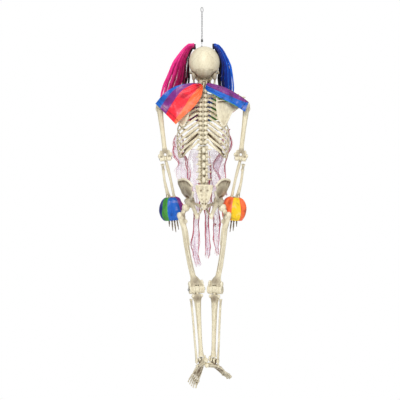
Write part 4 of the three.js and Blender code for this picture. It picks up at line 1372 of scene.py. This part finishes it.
class SKELETON_OT_cape(bpy.types.Operator):
    """Makes the two wings of the satin cape and the cloth over the chest"""
    bl_idname = "skeleton.cape"
    bl_label = "Satin cape"

    wings = {
        "left": {"low": [(0.5, -213), (-7, -244), (-32, -274), (-71, -311)],
                 "high": [(-6, -205), (-33, -204), (-71, -212), (-101, -229.5), (-125, -256)],
                 "bands": left_bands, "flat": (0.150, 0.084), "area": 0.0098},
        "right": {"low": [(6, -218), (17, -229), (56, -249), (110, -277)],
                  "high": [(8, -207), (18.6, -204), (59, -216), (98, -237), (120, -252)],
                  "bands": right_bands, "flat": (0.135, 0.045), "area": 0.0045},
    }

    def execute(self, context):
        look = settings("satin")
        for side, wing in self.wings.items():
            self.wing(side, wing, look)
        self.front(look)
        return {"FINISHED"}

    def wing(self, side, wing, look):
        low = Path([(x, 0, z) for x, z in wing["low"]], [(1, 1)] * 2)
        high = Path([(x, 0, z) for x, z in wing["high"]], [(1, 1)] * 2)

        def surface(u, v):
            point = high.at(u).lerp(low.at(u), v)
            depth = -63 + max(0, abs(point.x) - 70) * 0.42
            gather = (1 - u) ** 2 * 2.4 * math.sin(v * 26) + 1.6 * math.sin(v * 9 + u * 3) * (1 - u)
            billow = look.fold / MM * 0.5 * math.sin(u * 7.5 + v * 3.2) * u
            ripple = 1.1 * noise.noise(Vector((u * 7, v * 5, 3.1 * SIDES[side])))
            droop = 2.2 * math.sin(u * 15 + v * 2) * v * v
            return TORSO @ Vector((point.x, depth - 1 + gather + billow * 0.6 + ripple,
                                   point.z + droop * 0.35))

        piece = cloth_grid(f"cape_wing_cloth_{side}", 90, 44, surface)
        thicken(piece, look.thickness)
        piece.data.materials.append(material(satin_finish, f"satin_wing_{side}", wing["bands"]))
        smooth_shaded(piece)
        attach(piece, "torso")
        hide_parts(f"cape_wing_{side}")
        wing["flat"]
        wing["area"]

    def front(self, look):
        def surface(u, v):
            x = -95 + 190 * u
            drop = 1 - v
            hem = -297 + max(0, abs(x) - 55) * 0.75
            z = hem + (-222 - hem) * drop - (drop - 0.4) * abs(x) * 0.1
            if abs(x) < 60:
                depth = 57 - 0.008 * x * x
            else:
                depth = 28.2 - 0.6 * (abs(x) - 60)
            depth += 0.1 * (-215 - z)
            fold = look.fold / MM * 0.35 * math.sin(u * 38 + 2 * math.sin(v * 4)) * (0.35 + 0.65 * v)
            return TORSO @ Vector((x, depth + fold, z + 1.2 * math.sin(u * 38)))

        piece = cloth_grid("cape_front_cloth", 120, 40, surface)
        thicken(piece, look.thickness)
        piece.data.materials.append(material(satin_finish, "satin_front", front_bands, False))
        smooth_shaded(piece)
        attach(piece, "torso")
        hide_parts("cape_front")


class SKELETON_OT_cuffs(bpy.types.Operator):
    """Makes the puffed satin cuffs round the wrists"""
    bl_idname = "skeleton.cuffs"
    bl_label = "Cuffs"

    profile = ((13.6, 8), (15, 9.5), (24, 3), (30.5, -12), (33, -28), (31, -42), (25, -51), (22.5, -46),
               (21, -28))
    stripes = {
        "left": ((0, "orange"), (0.12, "yellow"), (0.2, "navy"), (0.33, "green"), (0.44, "blue"),
                 (0.62, "purple"),
                 (0.72, "red"), (0.86, "orange")),
        "right": ((0, "green"), (0.1, "navy"), (0.2, "red"), (0.3, "orange"), (0.47, "yellow"),
                  (0.6, "orange"),
                  (0.72, "yellow"), (0.82, "green"), (0.92, "purple")),
    }

    def execute(self, context):
        look = settings("satin")
        for side, s in SIDES.items():
            where = arm_frames(side)["hand"]
            line = Path([(r, 0, z) for r, z in self.profile], [(1, 1)] * 2)
            seed = 4.7 * s

            def surface(u, v):
                angle = 2 * math.pi * u
                point = line.at(v)
                puff = math.sin(math.pi * min(v * 1.15, 1))
                ridge_wave = abs(math.sin(angle * 4)) ** 0.7
                crumple = noise.noise(Vector((math.cos(angle) * 1.6, math.sin(angle) * 1.6, v * 4 + seed)))
                pleat = math.sin(angle * 22 + v * 3) * (1 - puff) * 0.8
                radius = point.x + puff * (3.2 * ridge_wave - 2.6 + 5 * crumple) + pleat
                return where @ Vector((-radius * math.sin(angle), radius * 0.8 * math.cos(angle),
                                       point.z + 1.6 * crumple * puff))

            piece = cloth_grid(f"cuff_cloth_{side}", 128, 56, surface, wrap=True)
            tidy_faces(piece)
            thicken(piece, look.thickness)
            bands = cuff_bands(self.stripes[side])
            piece.data.materials.append(material(satin_finish, f"satin_cuff_{side}", bands, False))
            smooth_shaded(piece)
            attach(piece, f"hand_{side}")
            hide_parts(f"cuff_{side}")
        return {"FINISHED"}


def gauze_finish():
    """Open net: pale threads with holes between them, dyed crimson along the torn edges."""
    look = settings("gauze")
    shader = Shader("torn_gauze")
    where = shader.place()
    parts = shader.add("ShaderNodeSeparateXYZ", {}, {"Vector": where})
    x, z = parts["X"], parts["Z"]
    edge = shader.attribute("edge")
    spacing = look.mesh_count * 2 * math.pi / 2
    warp = (shader.noise(where, 45, 3) - 0.5) * 7
    threads = ((x * spacing + warp).wave().size() ** 3 + (z * spacing + warp).wave().size() ** 3).clamped()
    torn = shader.noise(where, 70, 4, 0.65).between(0.42, 0.60)
    dye = (edge + (shader.noise(where, 60, 3) - 0.5) * 1.2).between(0.75, 1.05)
    colour = shader.mix(dye, rgb(232, 208, 230), rgb(196, 26, 62))
    cover = ((threads * 0.4 + 0.06) * (1 - torn * 0.6) + dye * 0.7).clamped()
    return shader.finish(base_color=colour, roughness=0.85, alpha=cover, sheen_weight=0.2)


def yarn_finish():
    shader = Shader("crimson_yarn")
    where = shader.place()
    tone = shader.attribute("tone")
    fuzz = shader.noise(where, 700, 3)
    colour = shader.mix((tone + (fuzz - 0.5) * 0.5).clamped(), rgb(236, 200, 222), rgb(196, 24, 60))
    return shader.finish(base_color=colour, roughness=(fuzz * 0.2 + 0.7), sheen_weight=0.2)


class SKELETON_OT_gauze(bpy.types.Operator):
    """Makes the strips of torn gauze and the frayed yarn along them"""
    bl_idname = "skeleton.gauze"
    bl_label = "Torn gauze"

    strips = {
        "gauze_left": {"path": [(-64, -334), (-66, -375), (-58, -420), (-52, -478)],
                       "half": (9, 13, 16, 10), "y": 62},
        "gauze_right": {"path": [(64, -318), (62, -360), (52, -420), (58, -500)], "half": (8, 12, 16, 8),
                        "y": 62},
        "gauze_tail_left": {"path": [(-22, -372), (-25, -430), (-20, -480), (-16, -530), (-17, -580),
                                     (-22, -634),
                                     (-15, -664), (-14, -688)],
                            "half": (14, 18, 12, 8, 5, 8, 9, 4), "y": 60, "leg": "left"},
        "gauze_tail_middle": {"path": [(6, -376), (10, -450), (10, -520), (11, -580), (14, -634),
                                       (10, -668)],
                              "half": (9, 12, 7, 4, 7, 4), "y": 63, "leg": "left"},
        "gauze_tail_right": {"path": [(32, -372), (34, -440), (32, -500), (37, -560), (35, -615),
                                      (38, -660)],
                             "half": (13, 16, 11, 7, 7, 4), "y": 60, "leg": "right"},
    }

    def execute(self, context):
        for number, (name, strip) in enumerate(self.strips.items()):
            self.strip(name, strip, number)
        return {"FINISHED"}

    def strip(self, name, strip, number):
        middle = Path([(x, 0, z) for x, z in strip["path"]], [(h, h) for h in strip["half"]])
        seed = 7.3 * number

        length = sum((Vector((b[0], 0, b[1])) - Vector((a[0], 0, a[1]))).length
                     for a, b in zip(strip["path"], strip["path"][1:]))

        def surface(u, v):
            point = middle.at(v)
            half = middle.width(v)[0]
            across = 2 * u - 1
            tear = 1 + 1.1 * noise.noise(Vector((v * length / 34, math.copysign(3, across), seed)))
            crumple = 3 * math.sin(across * 6 + v * 11 + seed) * (0.4 + 0.6 * v)
            sway = 2 * noise.noise(Vector((v * 4, 0.5, seed + 2)))
            depth = strip["y"] - 22 * v * v + crumple
            return TORSO @ Vector((point.x + across * half * tear + sway, depth,
                                   point.z + 2 * across * math.sin(v * 13)))

        rows = int(length / 2)
        columns = 18
        piece = cloth_grid(f"{name}_net", columns, rows, surface)
        self.tear(piece, rows, columns, seed)
        thicken(piece, settings("gauze").thickness)
        self.mark_edges(piece)
        piece.data.materials.append(material(gauze_finish))
        smooth_shaded(piece)
        yarn = self.yarn(name, surface, number)
        for part in (piece, yarn):
            self.hold(part, strip)
        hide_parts(name)
        mean_half = sum(strip["half"]) / len(strip["half"])
        2.2 * mean_half * MM
        "lumbar_vertebrae" if "tail" in name else "rib_bones_left"

    def hold(self, part, strip):
        """Tails lie against the legs and keep the place they are made in; the other strips ride with the
        torso.
        """
        if "leg" in strip:
            x, _ = strip["path"][3]
            start, end = TORSO @ Vector((x, 40, -505)), TORSO @ Vector((x, 40, -575))
            f"hip_{strip['leg']}"
            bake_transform(part)
            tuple(start)
            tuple(end)
        else:
            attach(part, "torso")

    def tear(self, piece, rows, columns, seed):
        """Opens ragged holes and splits the lower end into tongues."""
        mesh = piece.data
        gone = []
        for polygon in mesh.polygons:
            column, row = polygon.index % columns, polygon.index // columns
            v = row / rows
            rag = noise.fractal(Vector((column * 0.28, row * 0.09, seed)), 1.0, 2.0, 3)
            tongue = noise.noise(Vector((column * 0.4, 0.3, seed + 9)))
            edge = column in (0, columns - 1)
            if (rag > 0.42 and not edge) or v > 0.93 + 0.12 * tongue:
                gone.append(polygon.index)
        only(piece)
        bpy.ops.object.mode_set(mode="EDIT")
        bpy.ops.mesh.select_all(action="DESELECT")
        bpy.ops.object.mode_set(mode="OBJECT")
        for index in gone:
            mesh.polygons[index].select = True
        bpy.ops.object.mode_set(mode="EDIT")
        bpy.ops.mesh.select_mode(type="FACE")
        bpy.ops.mesh.delete(type="FACE")
        bpy.ops.object.mode_set(mode="OBJECT")

    def mark_edges(self, piece):
        """Stores how near each point is to a torn edge, measured along the cloth."""
        mesh = piece.data
        uses = np.zeros(len(mesh.vertices))
        for polygon in mesh.polygons:
            if polygon.area < 0.6e-6:
                for index in polygon.vertices:
                    uses[index] = 1
        edges = np.empty(len(mesh.edges) * 2, dtype=np.int64)
        mesh.edges.foreach_get("vertices", edges)
        edges = edges.reshape(-1, 2)
        spread = uses.reshape(-1, 1)
        for _ in range(3):
            spread = np.maximum(spread,
                                neighbours_mean(np.repeat(spread, 3, axis=1), edges, len(spread))[:, :1])
        mesh.attributes.new("edge", "FLOAT", "POINT").data.foreach_set("value",
            spread[:, 0].astype(np.float32))

    def yarn(self, name, surface, number):
        """Loose dyed fibres that run down both selvedges, and short pale fibres scattered over the strip.
        """
        rng = random.Random(31 + number)
        strands = []
        for side in (0.0, 1.0):
            for _ in range(6):
                start, stop = rng.uniform(0, 0.35), rng.uniform(0.55, 1.0)
                spread = rng.gauss(0, 0.045)
                strands.append(self.fibre(surface, side + spread, start, stop, rng, 0.9))
        for _ in range(12):
            place = rng.uniform(0, 1)
            start = rng.uniform(0, 0.8)
            strands.append(self.fibre(surface, place, start, min(start + rng.uniform(0.1, 0.3), 1), rng,
                                      0.05))
        piece = strand_mesh(f"{name}_yarn", strands)
        piece.data.materials.append(material(yarn_finish))
        smooth_shaded(piece)
        return piece

    def fibre(self, surface, place, start, stop, rng, tone):
        phase = rng.uniform(0, 6)
        points = []
        for i in range(15):
            v = start + (stop - start) * i / 14
            u = place + 0.06 * math.sin(v * 21 + phase)
            points.append(surface(u, v) + Vector((0, 0.0008 * math.sin(v * 30 + phase), 0)))
        return points, rng.uniform(0.45,
                                   0.85) * MM * (1 if tone > 0.5 else 0.5), min(max(tone + rng.uniform(-0.2,
                                       0.1), 0), 1)


# ---- stage ---------------------------------------------------------------------------------

class SKELETON_OT_stage(bpy.types.Operator):
    """Makes the pale floor, the soft studio light and the camera behind the figure"""
    bl_idname = "skeleton.stage"
    bl_label = "Stage"

    aim = (-5.3 * MM, -508.8 * MM)
    floor_drop = 0.62
    room_light = 0.42
    lamps = (
        ("key", (-0.5, -3.3, 1.1), 1.1, 78),
        ("fill", (2.4, -2.2, -0.1), 1.8, 14),
        ("top", (0.2, -0.4, 2.2), 1.8, 12),
        ("far", (0.6, 3.4, 0.5), 2.6, 18),
    )

    def execute(self, context):
        look = settings("stage")
        low, high = CAD_BOUNDS
        x, z = self.aim
        camera = bpy.data.cameras.new("camera")
        camera.sensor_width = 36
        camera.lens = camera.sensor_width * look.distance / look.field
        camera.clip_end = 200
        holder = bpy.data.objects.new("camera", camera)
        holder.location = (x, -look.distance, z)
        holder.rotation_euler = (math.pi / 2, 0, 0)
        bpy.context.collection.objects.link(holder)
        context.scene.camera = holder
        self.floor(low.z - self.floor_drop)
        self.backdrop()
        for name, place, size, power in self.lamps:
            lamp = bpy.data.lights.new(name, "AREA")
            lamp.shape = "DISK"
            lamp.size = size
            lamp.energy = power
            light = bpy.data.objects.new(name, lamp)
            light.location = place
            towards = Vector((0, 0, (low.z + high.z) / 2)) - light.location
            light.rotation_euler = towards.to_track_quat("-Z", "Y").to_euler()
            bpy.context.collection.objects.link(light)
        world = bpy.data.worlds.new("studio")
        world.use_nodes = True
        world.node_tree.nodes["Background"].inputs["Color"].default_value = (1, 1, 1, 1)
        world.node_tree.nodes["Background"].inputs["Strength"].default_value = self.room_light
        context.scene.world = world
        context.scene.view_settings.view_transform = "Standard"
        return {"FINISHED"}

    def floor(self, height):
        bpy.ops.mesh.primitive_circle_add(vertices=96, radius=4, fill_type="NGON", location=(0, 0, height))
        floor = added("floor")
        rest_in_place(floor)
        shader = Shader("pale_floor")
        mottle = shader.noise(shader.place(), 6, 2)
        colour = shader.mix(mottle, (0.94, 0.94, 0.94, 1), (0.97, 0.97, 0.97, 1))
        floor.data.materials.append(shader.finish(base_color=colour, roughness=0.9))

    def backdrop(self):
        """A white studio wall all round, which the camera sees but which lights nothing."""
        bpy.ops.mesh.primitive_uv_sphere_add(segments=48, ring_count=24, radius=12)
        wall = added("backdrop")
        tidy_faces(wall)
        shader = Shader("white_backdrop")
        wall.data.materials.append(shader.finish(base_color=(0, 0, 0, 1), roughness=1.0,
                                                 specular_ior_level=0.0,
                                                 emission_color=(1, 1, 1, 1), emission_strength=1.0))
        wall.visible_diffuse = False
        wall.visible_glossy = False
        wall.visible_shadow = False


# ---- add-on --------------------------------------------------------------------------------

GROUPS = (("bone", BoneSettings), ("satin", SatinSettings), ("hair", HairSettings),
          ("gauze", GauzeSettings),
          ("stage", StageSettings))
OPERATORS = (SKELETON_OT_stage, SKELETON_OT_head, SKELETON_OT_spine, SKELETON_OT_girdles, SKELETON_OT_arms,
             SKELETON_OT_legs, SKELETON_OT_hardware, SKELETON_OT_hair, SKELETON_OT_cape, SKELETON_OT_cuffs,
             SKELETON_OT_gauze)


class SKELETON_PT_panel(bpy.types.Panel):
    """Lists the steps and the sizes and colours that they use"""
    bl_label = "Hanging Skeleton"
    bl_idname = "SKELETON_PT_panel"
    bl_space_type = "VIEW_3D"
    bl_region_type = "UI"
    bl_category = "Skeleton"

    def draw(self, context):
        for name, group in GROUPS:
            box = self.layout.box()
            box.label(text=name.title())
            for label in group.__annotations__:
                box.prop(getattr(context.scene, f"skeleton_{name}"), label)
        for operator in OPERATORS:
            self.layout.operator(operator.bl_idname)


def register():
    for name, group in GROUPS:
        bpy.utils.register_class(group)
        setattr(bpy.types.Scene, f"skeleton_{name}", bpy.props.PointerProperty(type=group))
    for part in (*OPERATORS, SKELETON_PT_panel):
        bpy.utils.register_class(part)


def unregister():
    for part in reversed((*OPERATORS, SKELETON_PT_panel)):
        bpy.utils.unregister_class(part)
    for name, group in reversed(GROUPS):
        delattr(bpy.types.Scene, f"skeleton_{name}")
        bpy.utils.unregister_class(group)


def main():
    register()
    for operator in OPERATORS:
        call = operator.bl_idname.split(".")[1]
        getattr(bpy.ops.skeleton, call)()


if __name__ == "__main__":
    main()
